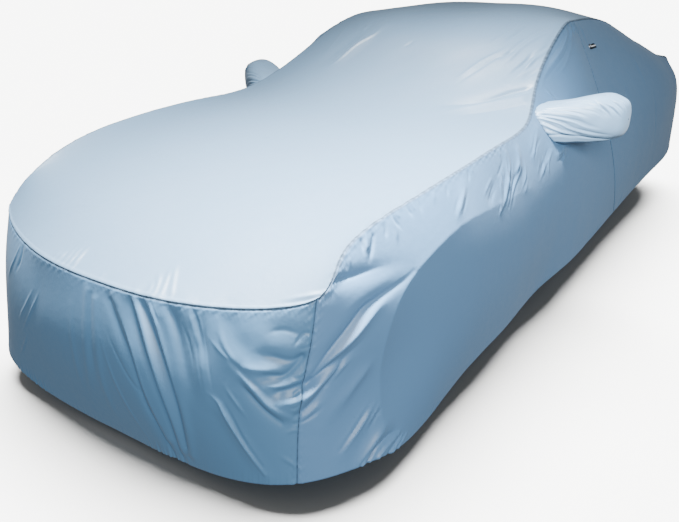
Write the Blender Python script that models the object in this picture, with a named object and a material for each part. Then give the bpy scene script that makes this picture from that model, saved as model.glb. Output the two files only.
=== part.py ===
"""Fitted car cover: sewn cloth panels in the shape in which they are held, two mirror pockets and a tab.

Metres, +Z up. The nose points along -Y and the cover's left side is +X. Tables give heights over the ground
line. The finished model is moved so that the underside of the roof cloth, on the centre line, is the origin.
"""
import bpy
import numpy as np
from mathutils.bvhtree import BVHTree

# ---------------------------------------------------------------- driving dimensions (metres)
MM = 0.001
SHEET = 0.002                          # thickness of the cloth
SEAM_GAP = 0.0003                      # gap between two sewn pieces
HOLD_POINT = (0.0, 0.465, 1.344)       # underside of the roof cloth, over the ground line

# Sections of the left half, from the nose round to the tail: x, y, z in millimetres.
STATIONS = (
    # name           seam                shoulder            waist               hem
    ("nose",         (0, -2300, 635),    (0, -2318, 558),    (0, -2340, 425),    (0, -2280, 30)),
    ("nose_side",    (415, -2262, 647),  (415, -2280, 570),  (410, -2308, 425),  (405, -2290, 55)),
    ("front_corner", (755, -2115, 705),  (755, -2145, 570),  (745, -2180, 420),  (755, -2230, 120)),
    ("corner_side",  (765, -1985, 815),  (860, -1905, 605),  (860, -1920, 420),  (895, -2020, 135)),
    ("fender_front", (805, -1725, 895),  (882, -1672, 750),  (925, -1625, 485),  (925, -1780, 125)),
    ("fender_top",   (830, -1350, 935),  (895, -1318, 795),  (950, -1285, 525),  (920, -1420, 175)),
    ("fender_back",  (820, -975, 950),   (900, -950, 765),   (945, -945, 550),   (920, -1045, 200)),
    ("pillar_foot",  (780, -630, 970),   (900, -620, 785),   (935, -620, 550),   (905, -675, 220)),
    ("pillar_mid",   (690, -315, 1110),  (895, -300, 815),   (935, -300, 570),   (920, -310, 230)),
    ("pillar_top",   (635, 75, 1270),    (885, -50, 850),    (930, -20, 580),    (915, 60, 245)),
    ("door_seam",    (595, 355, 1295),   (880, 150, 860),    (930, 260, 585),    (905, 480, 270)),
    ("roof_back",    (560, 995, 1250),   (875, 900, 895),    (925, 920, 620),    (895, 1000, 295)),
    ("back_glass",   (600, 1450, 1120),  (870, 1445, 905),   (915, 1440, 630),   (895, 1455, 315)),
    ("deck",         (690, 1855, 980),   (825, 1845, 875),   (875, 1835, 620),   (875, 1855, 330)),
    ("tail_side",    (710, 2110, 935),   (760, 2115, 845),   (815, 2105, 600),   (805, 2125, 345)),
    ("rear_corner",  (645, 2230, 925),   (655, 2265, 815),   (685, 2290, 600),   (685, 2280, 345)),
    ("tail_mid",     (375, 2280, 905),   (375, 2330, 820),   (385, 2380, 600),   (380, 2340, 340)),
    ("tail",         (0, 2300, 880),     (0, 2350, 820),     (0, 2405, 600),     (0, 2360, 340)),
)
# Centre line of the top panel from corner_side to tail_side: y, z in millimetres.
CROWN = (
    (-2100, 725), (-1800, 815), (-1420, 880), (-1020, 925), (-680, 990), (-345, 1145),
    (10, 1300), (465, 1345), (985, 1285), (1450, 1155), (1865, 1000), (2130, 955),
)
CROWN_FALL = 2.4                       # how sharply the crown falls to the seams

FRONT_CORNER = 2.0                     # station numbers of the top panel's front and rear corners
REAR_CORNER = 15.0
TAIL = 17.0
ROUND = 34.0                           # stations all the way round; right-hand ones count back from here

# Places on the skirt are (station, drop), drop 0 at the seam and 1 at the hem. Places on the top panel
# are (station, across), across -1 at the right seam and 1 at the left one.
# Each fold runs along its path: half width and height in millimetres, a trough below zero; form 2 is
# a soft round fold and 1 a sharp one; the ends say how strong it still is there.
SKIRT_FOLDS = (
    # half width, height, form, ends, path
    # the bundle that runs down the nose
    (24, -7, 2, (0.5, 0.6), ((0.09, 0.00), (0.25, 0.16), (0.39, 0.32), (0.49, 0.50), (0.59, 0.76), (0.69, 0.97))),
    (22, 7, 2, (0.5, 0.8), ((0.20, 0.04), (0.37, 0.22), (0.49, 0.42), (0.58, 0.63), (0.68, 0.84))),
    (20, -9, 2, (0.9, 0.6), ((0.38, 0.00), (0.47, 0.18), (0.59, 0.35), (0.70, 0.55), (0.77, 0.75), (0.80, 0.97))),
    (24, 11, 2, (0.9, 0.7), ((0.43, 0.00), (0.55, 0.17), (0.67, 0.36), (0.78, 0.58), (0.83, 0.90))),
    (20, -10, 2, (1.0, 0.6), ((0.48, 0.00), (0.65, 0.21), (0.79, 0.41), (0.87, 0.63), (0.87, 0.92))),
    (22, 9, 2, (1.0, 0.5), ((0.60, 0.00), (0.74, 0.22), (0.86, 0.42), (0.92, 0.66), (0.92, 0.90))),
    (20, 6, 2, (1.0, 0.0), ((0.69, 0.00), (0.82, 0.20), (0.92, 0.40), (0.99, 0.62))),
    (26, -6, 2, (1.0, 0.0), ((0.76, 0.00), (0.87, 0.17), (0.96, 0.38), (1.03, 0.60))),
    (24, 5, 2, (1.0, 0.0), ((0.92, 0.00), (1.04, 0.20), (1.13, 0.40), (1.18, 0.60))),
    (24, -5, 2, (0.6, 0.0), ((0.96, 0.02), (1.06, 0.17), (1.14, 0.33))),
    # the slack to the right of it, up to the corner seam
    (40, 4, 2, (0.6, 0.3), ((1.16, 0.02), (1.30, 0.21), (1.52, 0.34))),
    (40, -5, 2, (0.8, 0.3), ((1.22, 0.02), (1.36, 0.16), (1.60, 0.26))),
    (30, -3, 2, (0.0, 0.8), ((1.57, 0.14), (1.72, 0.12), (1.90, 0.16))),
    (22, -7, 2, (0.0, 0.8), ((1.52, 0.23), (1.70, 0.27), (1.85, 0.30), (1.95, 0.29))),
    (24, 5, 2, (0.1, 0.3), ((1.40, 0.28), (1.60, 0.33), (1.84, 0.35))),
    (22, -10, 2, (0.1, 0.8), ((1.55, 0.37), (1.79, 0.38), (1.95, 0.32))),
    (20, 6, 2, (0.1, 0.6), ((1.62, 0.40), (1.80, 0.43), (1.98, 0.42))),
    (20, -8, 2, (0.1, 0.9), ((1.70, 0.47), (1.85, 0.46), (2.04, 0.45))),
    (24, 9, 2, (0.1, 0.4), ((1.76, 0.53), (1.98, 0.52), (2.20, 0.46))),
    (34, 9, 2, (0.1, 0.5), ((1.40, 0.30), (1.57, 0.42), (1.74, 0.54), (1.96, 0.62))),
    (22, -8, 2, (0.1, 0.5), ((1.40, 0.36), (1.55, 0.46), (1.72, 0.57), (1.90, 0.65))),
    (26, 6, 2, (0.0, 0.5), ((1.17, 0.45), (1.35, 0.60), (1.55, 0.80), (1.72, 0.95))),
    # far front corner
    (40, -2, 2, (0.6, 0.3), ((-0.80, 0.06), (-0.86, 0.30), (-1.10, 0.56))),
    (40, 2, 2, (0.8, 0.3), ((-1.23, 0.03), (-1.32, 0.16), (-1.52, 0.34))),
    # the big folds that run from the corner seam to the fender edge
    (26, -7, 2, (1.0, 0.1), ((2.20, 0.00), (2.44, 0.01), (2.95, 0.11), (3.64, 0.22))),
    (22, -9, 2, (0.1, 0.6), ((3.59, 0.25), (3.09, 0.25), (2.64, 0.23), (2.37, 0.27), (2.19, 0.33), (2.07, 0.42))),
    (22, 7, 2, (0.1, 0.7), ((3.20, 0.27), (2.80, 0.28), (2.52, 0.31), (2.30, 0.34), (2.10, 0.41))),
    (20, -8, 2, (0.1, 0.7), ((2.62, 0.37), (2.37, 0.39), (2.14, 0.42), (1.94, 0.49))),
    (22, 8, 2, (0.1, 0.5), ((2.46, 0.41), (2.29, 0.44), (2.14, 0.51), (1.96, 0.57))),
    (20, -8, 2, (0.1, 0.6), ((2.45, 0.43), (2.27, 0.49), (2.14, 0.56), (1.96, 0.62))),
    (26, 7, 2, (0.0, 0.2), ((2.84, 0.49), (2.60, 0.58), (2.29, 0.72))),
    (28, 7, 2, (0.1, 0.5), ((2.98, 0.71), (2.77, 0.80), (2.55, 0.90))),
    (26, 9, 2, (0.2, 0.8), ((3.16, 0.86), (2.98, 0.91), (2.84, 0.98))),
    (20, -8, 2, (0.5, 1.0), ((3.32, 0.91), (3.11, 0.94), (2.94, 0.99))),
    (80, 15, 1, (0.7, 0.2), ((3.16, 0.93), (3.02, 0.74), (2.94, 0.56), (2.97, 0.43), (3.12, 0.35), (3.45, 0.28),
                             (3.92, 0.23), (4.50, 0.20), (5.14, 0.23), (6.20, 0.28))),
    # the upper side and the pillar
    (22, 4, 2, (0.5, 0.0), ((4.86, 0.07), (4.69, 0.12), (4.46, 0.19))),
    (20, -3, 2, (0.4, 0.0), ((5.44, 0.14), (5.26, 0.17), (5.08, 0.22))),
    (20, 5, 2, (0.5, 0.0), ((5.89, 0.05), (5.78, 0.15), (5.66, 0.22), (5.50, 0.28))),
    (20, -5, 2, (0.5, 0.1), ((6.15, 0.12), (5.91, 0.18), (5.70, 0.24), (5.52, 0.29))),
    (20, 4, 2, (0.7, 0.0), ((6.24, 0.07), (6.14, 0.12), (5.86, 0.19))),
    (24, 6, 2, (0.7, 0.0), ((7.04, 0.07), (6.70, 0.11), (6.46, 0.19))),
    (22, -5, 2, (0.7, 0.0), ((7.14, 0.17), (6.80, 0.21), (6.50, 0.27))),
    (24, 6, 2, (0.9, 0.0), ((9.06, 0.02), (8.73, 0.04), (8.38, 0.035), (8.00, 0.03))),
    (110, 22, 1, (0.9, 0.0), ((9.20, 0.03), (8.90, 0.06), (8.63, 0.07), (8.40, 0.065), (8.05, 0.045))),
    # the rear
    (60, 8, 2, (0.6, 0.0), ((12.2, 0.05), (12.6, 0.25), (12.7, 0.50))),
    (60, -7, 2, (0.6, 0.0), ((13.4, 0.04), (13.1, 0.25), (12.9, 0.55))),
    (50, 8, 2, (0.6, 0.2), ((14.7, 0.06), (14.3, 0.35), (13.8, 0.70))),
    (50, 8, 2, (0.6, 0.2), ((15.4, 0.05), (15.9, 0.40), (16.2, 0.80))),
    (50, -7, 2, (0.5, 0.2), ((16.1, 0.04), (16.5, 0.35), (17.1, 0.75))),
)
TOP_FOLDS = (
    # half width, height, form, ends, path
    (34, -8, 2, (0.0, 1.0), ((6.95, 0.42), (7.14, 0.56), (7.34, 0.69), (7.56, 0.82), (7.77, 0.98))),
    (40, 9, 2, (0.0, 1.0), ((6.80, 0.46), (7.08, 0.65), (7.28, 0.78), (7.58, 0.98))),
    (46, 6, 2, (0.0, 0.5), ((7.45, 0.45), (7.85, 0.57), (8.20, 0.70), (8.66, 0.84))),
    (44, 8, 2, (0.0, 0.5), ((7.52, -0.54), (7.86, -0.49), (8.20, -0.45), (8.68, -0.38))),
    (44, -7, 2, (0.0, 0.5), ((7.62, -0.66), (8.10, -0.58), (8.72, -0.52))),
    (70, -7, 2, (0.3, 0.0), ((11.2, 0.78), (11.9, 0.55), (12.4, 0.25))),
    (70, -7, 2, (0.3, 0.0), ((11.2, -0.78), (11.8, -0.50), (12.5, -0.20))),
)
FADE = 0.4                             # share of a fold over which its strength changes at an end
SEAM_HOLD = 0.3                        # share of a fold's height that is left on a seam of the top panel
SEAM_HOLD_WIDTH = 0.05                 # distance under such a seam over which folds come to full height
RIGHT_SHIFT = 0.07                     # the right side's folds lie this many stations further back
RIGHT_SHARE = 0.8                      # and are this much as high
RIGHT_FROM = 1.95                      # only folds behind this station are repeated on the right

# Columns of faces in each stretch of the skirt, station to station, and rows down it.
FRONT_COLUMNS = ((-2, -1, 8), (-1, 0, 7), (0, 1, 14), (1, 2, 10))
SIDE_FRONT_COLUMNS = ((2, 3, 6), (3, 4, 6), (4, 5, 5), (5, 7, 9), (7, 9, 8), (9, 10, 3))
SIDE_REAR_COLUMNS = ((10, 11, 5), (11, 12, 4), (12, 13, 3), (13, 14, 3), (14, 15, 3))
REAR_COLUMNS = ((15, 17, 6), (17, 19, 6))
DROPS = (0.0, 0.05, 0.12, 0.20, 0.29, 0.38, 0.48, 0.60, 0.73, 0.87, 1.0)
ACROSS = tuple(np.linspace(-1.0, 1.0, 15))

# Mirror pocket: sections outwards from the panel, x, y, z of the centre and half sizes in y and z.
POCKET_SECTIONS = (
    # x    y     z     half y  half z
    (740, -420, 928, 152, 76),
    (840, -392, 930, 152, 90),
    (900, -355, 936, 148, 98),
    (960, -316, 944, 138, 104),
    (1015, -282, 948, 122, 102),
    (1055, -262, 946, 102, 88),
    (1082, -252, 944, 70, 64),
)
POCKET_POWER = 2.5                     # roundness of a pocket section, 2 an ellipse
POCKET_STEPS = 24                      # points round a pocket section
POCKET_TIP = (1091, -250, 943)        # x, y, z of the closed end
POCKET_MOUTH = 0.90                    # hole in the side panel as a share of the pocket's section
MOUTH_REACH = 0.12                     # length of the cutters that open the panel and trim the pocket

TAB_LENGTH = 0.120
TAB_WIDTH = 0.028
TAB_START = (10.16, 0.128)             # station and drop of the tab's front end
TAB_STEPS = 6
TAB_GAP = 0.0005                       # gap under the tab, which bridges the panel's faces
TAB_REACH = 0.05                       # how far outside the panel its resting points are looked for

WALL_ORDER = np.array((0.31, 0.52, 0.79))   # a slanted direction that orders the points along a seam

CLOTH_COLOUR = (0.36, 0.47, 0.58)
TOP_COLOUR = (0.52, 0.60, 0.68)
TAB_COLOUR = (0.02, 0.02, 0.025)
CLOTH_ROUGHNESS = 0.42
TAB_ROUGHNESS = 0.7


# ---------------------------------------------------------------- smooth curves
def spline_weights(knots, at, closed=False):
    """Weights that give a cubic spline through values at the knots, read off at the places 'at'."""
    step = np.diff(knots)
    count = len(step) if closed else len(knots)
    left = np.zeros((count, count))
    right = np.zeros((count, count))
    inner = range(count) if closed else range(1, count - 1)
    if not closed:
        left[0, 0] = left[-1, -1] = 1
    for i in inner:
        before = step[i - 1]
        after = step[i]
        following = (i + 1) % count
        left[i, i - 1] += before
        left[i, i] += 2 * (before + after)
        left[i, following] += after
        right[i, i - 1] += 6 / before
        right[i, i] -= 6 / before + 6 / after
        right[i, following] += 6 / after
    bend = np.linalg.solve(left, right)
    at = np.asarray(at, float)
    i = np.clip(np.searchsorted(knots, at, side="right") - 1, 0, len(step) - 1)
    j = (i + 1) % count
    a = (np.asarray(knots)[i + 1] - at) / step[i]
    b = 1 - a
    rows = np.arange(len(at))
    weights = np.zeros((len(at), count))
    np.add.at(weights, (rows, i), a)
    np.add.at(weights, (rows, j), b)
    weights += ((a ** 3 - a) * step[i] ** 2 / 6)[:, None] * bend[i]
    weights += ((b ** 3 - b) * step[i] ** 2 / 6)[:, None] * bend[j]
    return weights


def run_lengths(points):
    """Distance along a row of points, from 0."""
    return np.concatenate([[0], np.cumsum(np.linalg.norm(np.diff(points, axis=0), axis=1))])


HALF = np.array([row[1:] for row in STATIONS]) * MM
LOOP = np.concatenate([HALF, HALF[-2:0:-1] * (-1, 1, 1)])
WAIST_KNOTS = run_lengths(np.concatenate([LOOP[:, 2], LOOP[:1, 2]]))


def sections(station):
    """Seam, shoulder, waist and hem points at the given stations of the closed skirt."""
    place = np.mod(np.asarray(station, float), ROUND)
    at = np.interp(place, np.arange(len(WAIST_KNOTS)), WAIST_KNOTS)
    return np.einsum("ai,ijk->ajk", spline_weights(WAIST_KNOTS, at, closed=True), LOOP)


def skirt_points(station, drop):
    """Points at pairs of station and drop; drop holds one row of drops for each station."""
    found = []
    for section, row in zip(sections(station), drop):
        knots = run_lengths(section)
        found.append(spline_weights(knots, np.asarray(row) * knots[-1]) @ section)
    return np.array(found)


def skirt_grid(station, drops):
    return skirt_points(station, [drops] * len(station))


def seam_line(station):
    return sections(station)[:, 0]


FINE = np.linspace(FRONT_CORNER, REAR_CORNER, 1041)
FINE_SHARE = run_lengths(seam_line(FINE))
FINE_SHARE = FINE_SHARE / FINE_SHARE[-1]


def across_of(station, centre, corner):
    """Across-value, 0 at the centre and 1 at the corner, of stations on the front or rear seam."""
    fine = np.linspace(centre, corner, 161)
    share = run_lengths(seam_line(fine))
    share = share / share[-1]
    order = np.argsort(fine)
    return np.interp(station, fine[order], share[order])


def end_seam(centre, corner, across):
    """The top panel's front or rear edge at across-values."""
    fine = np.linspace(centre, corner, 161)
    share = run_lengths(seam_line(fine))
    points = seam_line(np.interp(np.abs(across), share / share[-1], fine))
    points[:, 0] *= np.sign(across)
    return points


def blend_ends(along, front, rear):
    return (1 - along) * front + along * rear


def top_grid(station, across):
    """Top panel: stretched between the four seams, then lifted to the crown line."""
    across = np.asarray(across, float)
    along = np.interp(station, FINE, FINE_SHARE)[:, None, None]
    side = ((across + 1) / 2)[None, :, None]
    left = seam_line(station)
    right = left * (-1, 1, 1)
    front = end_seam(0, FRONT_CORNER, across)
    rear = end_seam(TAIL, REAR_CORNER, across)
    front_left, rear_left = seam_line([FRONT_CORNER, REAR_CORNER])
    corners = blend_ends(along, blend_ends(side, front_left * (-1, 1, 1), front_left),
                         blend_ends(side, rear_left * (-1, 1, 1), rear_left))
    grid = blend_ends(side, right[:, None], left[:, None]) + blend_ends(along, front, rear) - corners
    nose, tail = seam_line([0, TAIL])
    crown_knots = np.interp(np.arange(FRONT_CORNER, REAR_CORNER + 1), FINE, FINE_SHARE)
    crown = np.concatenate([[nose[1:]], np.array(CROWN) * MM, [tail[1:]]])
    run = along[:, :, 0]
    line = spline_weights(crown_knots, run.ravel()) @ crown
    level = (left + right) / 2 + blend_ends(run, nose, tail)
    level = level - blend_ends(run, front_left * (0, 1, 1), rear_left * (0, 1, 1))
    lift = (line - level[:, 1:])[:, None, :]
    grid[:, :, 1:] += lift * (1 - np.abs(across) ** CROWN_FALL)[None, :, None]
    return grid


# ---------------------------------------------------------------- folds
def ease(x):
    x = np.clip(x, 0, 1)
    return x * x * (3 - 2 * x)


def path_between(path, steps=24):
    """A smooth run of (station, second) places through a fold's own places."""
    path = np.array(path, float)
    knots = np.arange(len(path), dtype=float)
    return spline_weights(knots, np.linspace(0, len(path) - 1, steps)) @ path


def all_folds():
    """Each fold as a run of points with its half width, height, form and strength at the ends."""
    folds = []
    for half_width, height, form, ends, path in SKIRT_FOLDS:
        run = path_between(path)
        folds.append((skirt_points(run[:, 0], run[:, 1:])[:, 0], half_width, height, form, ends))
        if path[0][0] > RIGHT_FROM and path[-1][0] > RIGHT_FROM - RIGHT_SHIFT:
            run[:, 0] = ROUND - run[:, 0] - RIGHT_SHIFT
            points = skirt_points(run[:, 0], run[:, 1:])[:, 0]
            folds.append((points, half_width, height * RIGHT_SHARE, form, ends))
    for half_width, height, form, ends, path in TOP_FOLDS:
        run = path_between(path)
        points = np.array([top_grid([a], [v])[0, 0] for a, v in run])
        folds.append((points, half_width, height, form, ends))
    return folds


def fold_height(points, folds):
    """How far the folds lift the cloth at each point."""
    total = np.zeros(len(points))
    for run, half_width, height, form, ends in folds:
        reach = half_width * MM
        near = np.all(points > run.min(0) - 4 * reach, axis=1)
        near &= np.all(points < run.max(0) + 4 * reach, axis=1)
        if not near.any():
            continue
        here = points[near][:, None]
        start = run[:-1]
        step = run[1:] - start
        share = np.clip(((here - start) * step).sum(2) / (step * step).sum(1), 0, 1)
        gap = np.linalg.norm(here - start - share[:, :, None] * step, axis=2)
        closest = gap.argmin(1)
        rows = np.arange(len(closest))
        place = (closest + share[rows, closest]) / len(step)
        strength = 1 - (1 - ends[0]) * (1 - ease(place / FADE))
        strength -= (1 - ends[1]) * (1 - ease((1 - place) / FADE))
        profile = np.exp(-(gap[rows, closest] / reach) ** form)
        total[near] += height * MM * strength * profile
    return total


def seam_share(grid):
    """Share of a fold's height that is left at each point of the skirt, least at the seam above it."""
    down = np.cumsum(np.linalg.norm(np.diff(grid, axis=1), axis=2), axis=1)
    gap = np.concatenate([np.zeros((len(grid), 1)), down], axis=1)
    return SEAM_HOLD + (1 - SEAM_HOLD) * ease(gap / SEAM_HOLD_WIDTH)


# ---------------------------------------------------------------- the skirt and top as lifted grids
def unit(vectors):
    return vectors / np.linalg.norm(vectors, axis=-1, keepdims=True)


def facing(grid, closed=False):
    """Outward directions of a grid whose rows run nose to tail and columns run seam to hem."""
    if closed:
        along = np.roll(grid, -1, axis=0) - np.roll(grid, 1, axis=0)
    else:
        along = np.gradient(grid, axis=0)
    return -unit(np.cross(along, np.gradient(grid, axis=1)))


def spread(columns):
    """Stations at the edges of the columns of faces."""
    stations = [columns[0][0]]
    for first, last, count in columns:
        stations += list(np.linspace(first, last, count + 1)[1:])
    return stations


def mirrored(columns):
    return tuple((ROUND - last, ROUND - first, count) for first, last, count in reversed(columns))


SKIRT_PANELS = {
    "front_panel": FRONT_COLUMNS,
    "side_front_left": SIDE_FRONT_COLUMNS,
    "side_rear_left": SIDE_REAR_COLUMNS,
    "rear_panel": REAR_COLUMNS,
    "side_rear_right": mirrored(SIDE_REAR_COLUMNS),
    "side_front_right": mirrored(SIDE_FRONT_COLUMNS),
}


class Cover:
    """Grids of the whole cover, with shared points and shared outward directions along every seam."""

    def __init__(self):
        folds = all_folds()
        self.panel_rows = {}
        stations = []
        for name, columns in SKIRT_PANELS.items():
            places = spread(columns)
            self.panel_rows[name] = (len(stations), len(places))
            stations += places[:-1]
        self.stations = np.array(stations)
        self.skirt = skirt_grid(self.stations, DROPS)
        side = np.array(spread(SIDE_FRONT_COLUMNS) + spread(SIDE_REAR_COLUMNS)[1:])
        front = np.array(spread(FRONT_COLUMNS))
        rear = np.array(spread(REAR_COLUMNS))[::-1]
        front_across = across_of(np.abs(front), 0, FRONT_CORNER) * np.sign(front)
        rear_across = across_of(TAIL - np.abs(rear - TAIL), TAIL, REAR_CORNER) * np.sign(TAIL - rear)
        nearly = 0.02
        # rows of the top panel: the front seam, the side stations between the corners, the rear seam
        self.top = [top_grid([FRONT_CORNER], front_across)[0]]
        self.top += list(top_grid(side[1:-1], ACROSS))
        self.top += [top_grid([REAR_CORNER], rear_across)[0]]
        self.top_across = [front_across] + [np.array(ACROSS)] * (len(side) - 2) + [rear_across]
        normals = [facing(top_grid([FRONT_CORNER, FRONT_CORNER + nearly], front_across))[0]]
        normals += list(facing(top_grid(side[1:-1], ACROSS)))
        normals += [facing(top_grid([REAR_CORNER - nearly, REAR_CORNER], rear_across))[1]]
        self.lift(folds, normals)

    def seam_pairs(self):
        """Index on the skirt's seam row for every point on the rim of the top panel."""
        count = len(self.stations)
        front_start = self.panel_rows["front_panel"][0]
        front = [(front_start + i) % count for i in range(len(self.top[0]))]
        left = [self.panel_rows["side_front_left"][0] + i for i in range(1, len(self.top) - 1)]
        rear_start, rear_count = self.panel_rows["rear_panel"]
        rear = [rear_start + i for i in range(rear_count)][::-1]
        right = [(front_start - i) % count for i in range(1, len(self.top) - 1)]
        pairs = [((0, i), k) for i, k in enumerate(front)]
        pairs += [((row, len(self.top[row]) - 1), k) for row, k in zip(range(1, len(self.top) - 1), left)]
        pairs += [((row, 0), k) for row, k in zip(range(1, len(self.top) - 1), right)]
        pairs += [((len(self.top) - 1, i), k) for i, k in enumerate(rear)]
        return pairs

    def share_seam(self, skirt_facing, top_facing):
        """Give both sides of the seam the direction half-way between them."""
        for (row, i), k in self.seam_pairs():
            both = unit(skirt_facing[k, 0] + top_facing[row][i])
            skirt_facing[k, 0] = both
            top_facing[row][i] = both

    def lift(self, folds, top_facing):
        skirt_facing = facing(self.skirt, closed=True)
        self.share_seam(skirt_facing, top_facing)
        height = fold_height(self.skirt.reshape(-1, 3), folds).reshape(self.skirt.shape[:2])
        height *= seam_share(self.skirt)
        self.skirt = self.skirt + height[:, :, None] * skirt_facing
        for row, points in enumerate(self.top):
            height = fold_height(points, folds)
            on_seam = slice(None) if row in (0, len(self.top) - 1) else [0, -1]
            height[on_seam] *= SEAM_HOLD
            self.top[row] = points + height[:, None] * top_facing[row]
        self.skirt_facing = facing(self.skirt, closed=True)
        middle = facing(np.array(self.top[1:-1]))
        self.top_facing = [top_facing[0]] + list(middle) + [top_facing[-1]]
        self.share_seam(self.skirt_facing, self.top_facing)

    def panel(self, name):
        """Rows of points and directions of one skirt panel."""
        start, count = self.panel_rows[name]
        rows = [(start + i) % len(self.stations) for i in range(count)]
        return self.skirt[rows], self.skirt_facing[rows]


# ---------------------------------------------------------------- meshes
def material(name, colour, roughness):
    made = bpy.data.materials.new(name)
    made.use_nodes = True
    shader = made.node_tree.nodes["Principled BSDF"]
    shader.inputs["Base Color"].default_value = (*colour, 1.0)
    shader.inputs["Roughness"].default_value = roughness
    shader.inputs["Metallic"].default_value = 0.0
    return made


def new_object(name, points, faces, finish=None):
    mesh = bpy.data.meshes.new(name)
    mesh.from_pydata([tuple(p) for p in np.asarray(points) - HOLD_POINT], [], faces)
    mesh.update()
    made = bpy.data.objects.new(name, mesh)
    bpy.context.scene.collection.objects.link(made)
    if finish:
        mesh.materials.append(finish)
        mesh.shade_smooth()
    return made


def strip(first, first_at, second, second_at):
    """Triangles between two rows of point numbers whose places along the rows are given."""
    faces = []
    i = j = 0
    while i < len(first) - 1 or j < len(second) - 1:
        step_first = j == len(second) - 1
        if i < len(first) - 1 and j < len(second) - 1:
            step_first = first_at[i + 1] + first_at[i] <= second_at[j + 1] + second_at[j]
        if step_first:
            faces.append((first[i], second[j], first[i + 1]))
            i += 1
        else:
            faces.append((first[i], second[j], second[j + 1]))
            j += 1
    return faces


def draw_in(rows, facing_rows):
    """Move the rim half a seam gap into the sheet, square to the seam."""
    def inward(edge, inner, normal):
        """Unit steps from an edge into the sheet, square to the edge and to the outward direction."""
        square = unit(np.cross(np.gradient(edge, axis=0), normal))
        return square * np.sign(((inner - edge) * square).sum(-1, keepdims=True))

    def nearest(points, row):
        return row[np.linalg.norm(points[:, None] - row[None], axis=2).argmin(1)]

    steps = [np.zeros_like(row) for row in rows]
    last = len(rows) - 1
    for row, other in ((0, 1), (last, last - 1)):
        steps[row] = inward(rows[row], nearest(rows[row], rows[other]), facing_rows[row])
    for column, other in ((0, 1), (-1, -2)):
        edge = np.array([row[column] for row in rows])
        inner = np.array([row[other] for row in rows])
        side = inward(edge, inner, np.array([row[column] for row in facing_rows]))
        for row in range(len(rows)):
            both = steps[row][column] @ side[row]
            steps[row][column] = (steps[row][column] + side[row]) / (1 + both)
    return [row + step * SEAM_GAP / 2 for row, step in zip(rows, steps)]


def rim_walls(rim, count, points):
    """Faces between the two sides of a sheet; panels that meet split each one along the same line."""
    walls = []
    for a, b in zip(rim, rim[1:] + rim[:1]):
        if points[a] @ WALL_ORDER < points[b] @ WALL_ORDER:
            walls.append((a, b + count, b))
            walls.append((a, a + count, b + count))
        else:
            walls.append((a, a + count, b))
            walls.append((b, a + count, b + count))
    return walls


def sheet_object(name, rows, facing_rows, places, finish):
    """Closed sheet of even thickness on rows of points; places are the points' places along each row."""
    rows = draw_in(rows, facing_rows)
    outer = np.concatenate([row + n * SHEET / 2 for row, n in zip(rows, facing_rows)])
    inner = np.concatenate([row - n * SHEET / 2 for row, n in zip(rows, facing_rows)])
    starts = np.cumsum([0] + [len(row) for row in rows])
    index = [list(range(starts[i], starts[i + 1])) for i in range(len(rows))]
    faces = []
    for i in range(len(rows) - 1):
        faces += strip(index[i], places[i], index[i + 1], places[i + 1])
    count = len(outer)
    under = [(a + count, c + count, b + count) for a, b, c in faces]
    left = [row[0] for row in index]
    right = [row[-1] for row in index]
    rim = left + index[-1][1:] + right[-2::-1] + index[0][-2:0:-1]
    walls = rim_walls(rim, count, outer)
    made = new_object(name, np.concatenate([outer, inner]), faces + under + walls, finish)
    face_outwards(made)
    return made


def face_outwards(made):
    """Turn every face round if the closed mesh is inside out."""
    mesh = made.data
    mesh.calc_loop_triangles()
    points = np.array([v.co for v in mesh.vertices])
    tri = np.array([t.vertices for t in mesh.loop_triangles])
    a, b, c = points[tri[:, 0]], points[tri[:, 1]], points[tri[:, 2]]
    if (a * np.cross(b, c)).sum() < 0:
        mesh.flip_normals()


def skirt_panel(cover, name, finish):
    points, directions = cover.panel(name)
    places = [np.array(DROPS)] * len(points)
    return sheet_object(name, list(points), list(directions), places, finish)


def top_panel(cover, finish):
    return sheet_object("top_panel", cover.top, cover.top_facing, cover.top_across, finish)


# ---------------------------------------------------------------- mirror pockets
def ring_points(x, y, z, half_y, half_z):
    """One closed section of a pocket, a rounded box shape across the x direction."""
    turn = np.linspace(0, 2 * np.pi, POCKET_STEPS, endpoint=False)
    c = np.cos(turn)
    s = np.sin(turn)
    reach_y = half_y * np.sign(c) * np.abs(c) ** (2 / POCKET_POWER)
    reach_z = half_z * np.sign(s) * np.abs(s) ** (2 / POCKET_POWER)
    return np.stack([np.full(POCKET_STEPS, float(x)), y + reach_y, z + reach_z], axis=1) * MM


def pocket_rings(shrink):
    """Sections of a pocket drawn in by 'shrink' millimetres."""
    return [ring_points(x, y, z, half_y - shrink, half_z - shrink)
            for x, y, z, half_y, half_z in POCKET_SECTIONS]


def tube_faces(first, rings, steps):
    faces = []
    for ring in range(rings - 1):
        for i in range(steps):
            a = first + ring * steps + i
            b = first + ring * steps + (i + 1) % steps
            faces.append((a, b, b + steps))
            faces.append((a, b + steps, a + steps))
    return faces


def pocket_object(name, side, finish):
    """Bag of even cloth, closed at the tip; its open end is trimmed to the side panel."""
    thickness = SHEET / MM
    outer = np.concatenate(pocket_rings(0) + [[np.array(POCKET_TIP) * MM]])
    inner = np.concatenate(pocket_rings(thickness) + [[(np.array(POCKET_TIP) - (thickness, 0, 0)) * MM]])
    steps = POCKET_STEPS
    rings = len(POCKET_SECTIONS)
    count = len(outer)
    last = (rings - 1) * steps
    faces = tube_faces(0, rings, steps)
    faces += [(last + i, last + (i + 1) % steps, count - 1) for i in range(steps)]
    under = [(a + count, c + count, b + count) for a, b, c in faces]
    walls = []
    for i in range(steps):
        a = i
        b = (i + 1) % steps
        walls.append((a, a + count, b + count))
        walls.append((a, b + count, b))
    points = np.concatenate([outer, inner]) * (side, 1, 1)
    made = new_object(name, points, faces + under + walls, finish)
    face_outwards(made)
    return made


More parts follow.
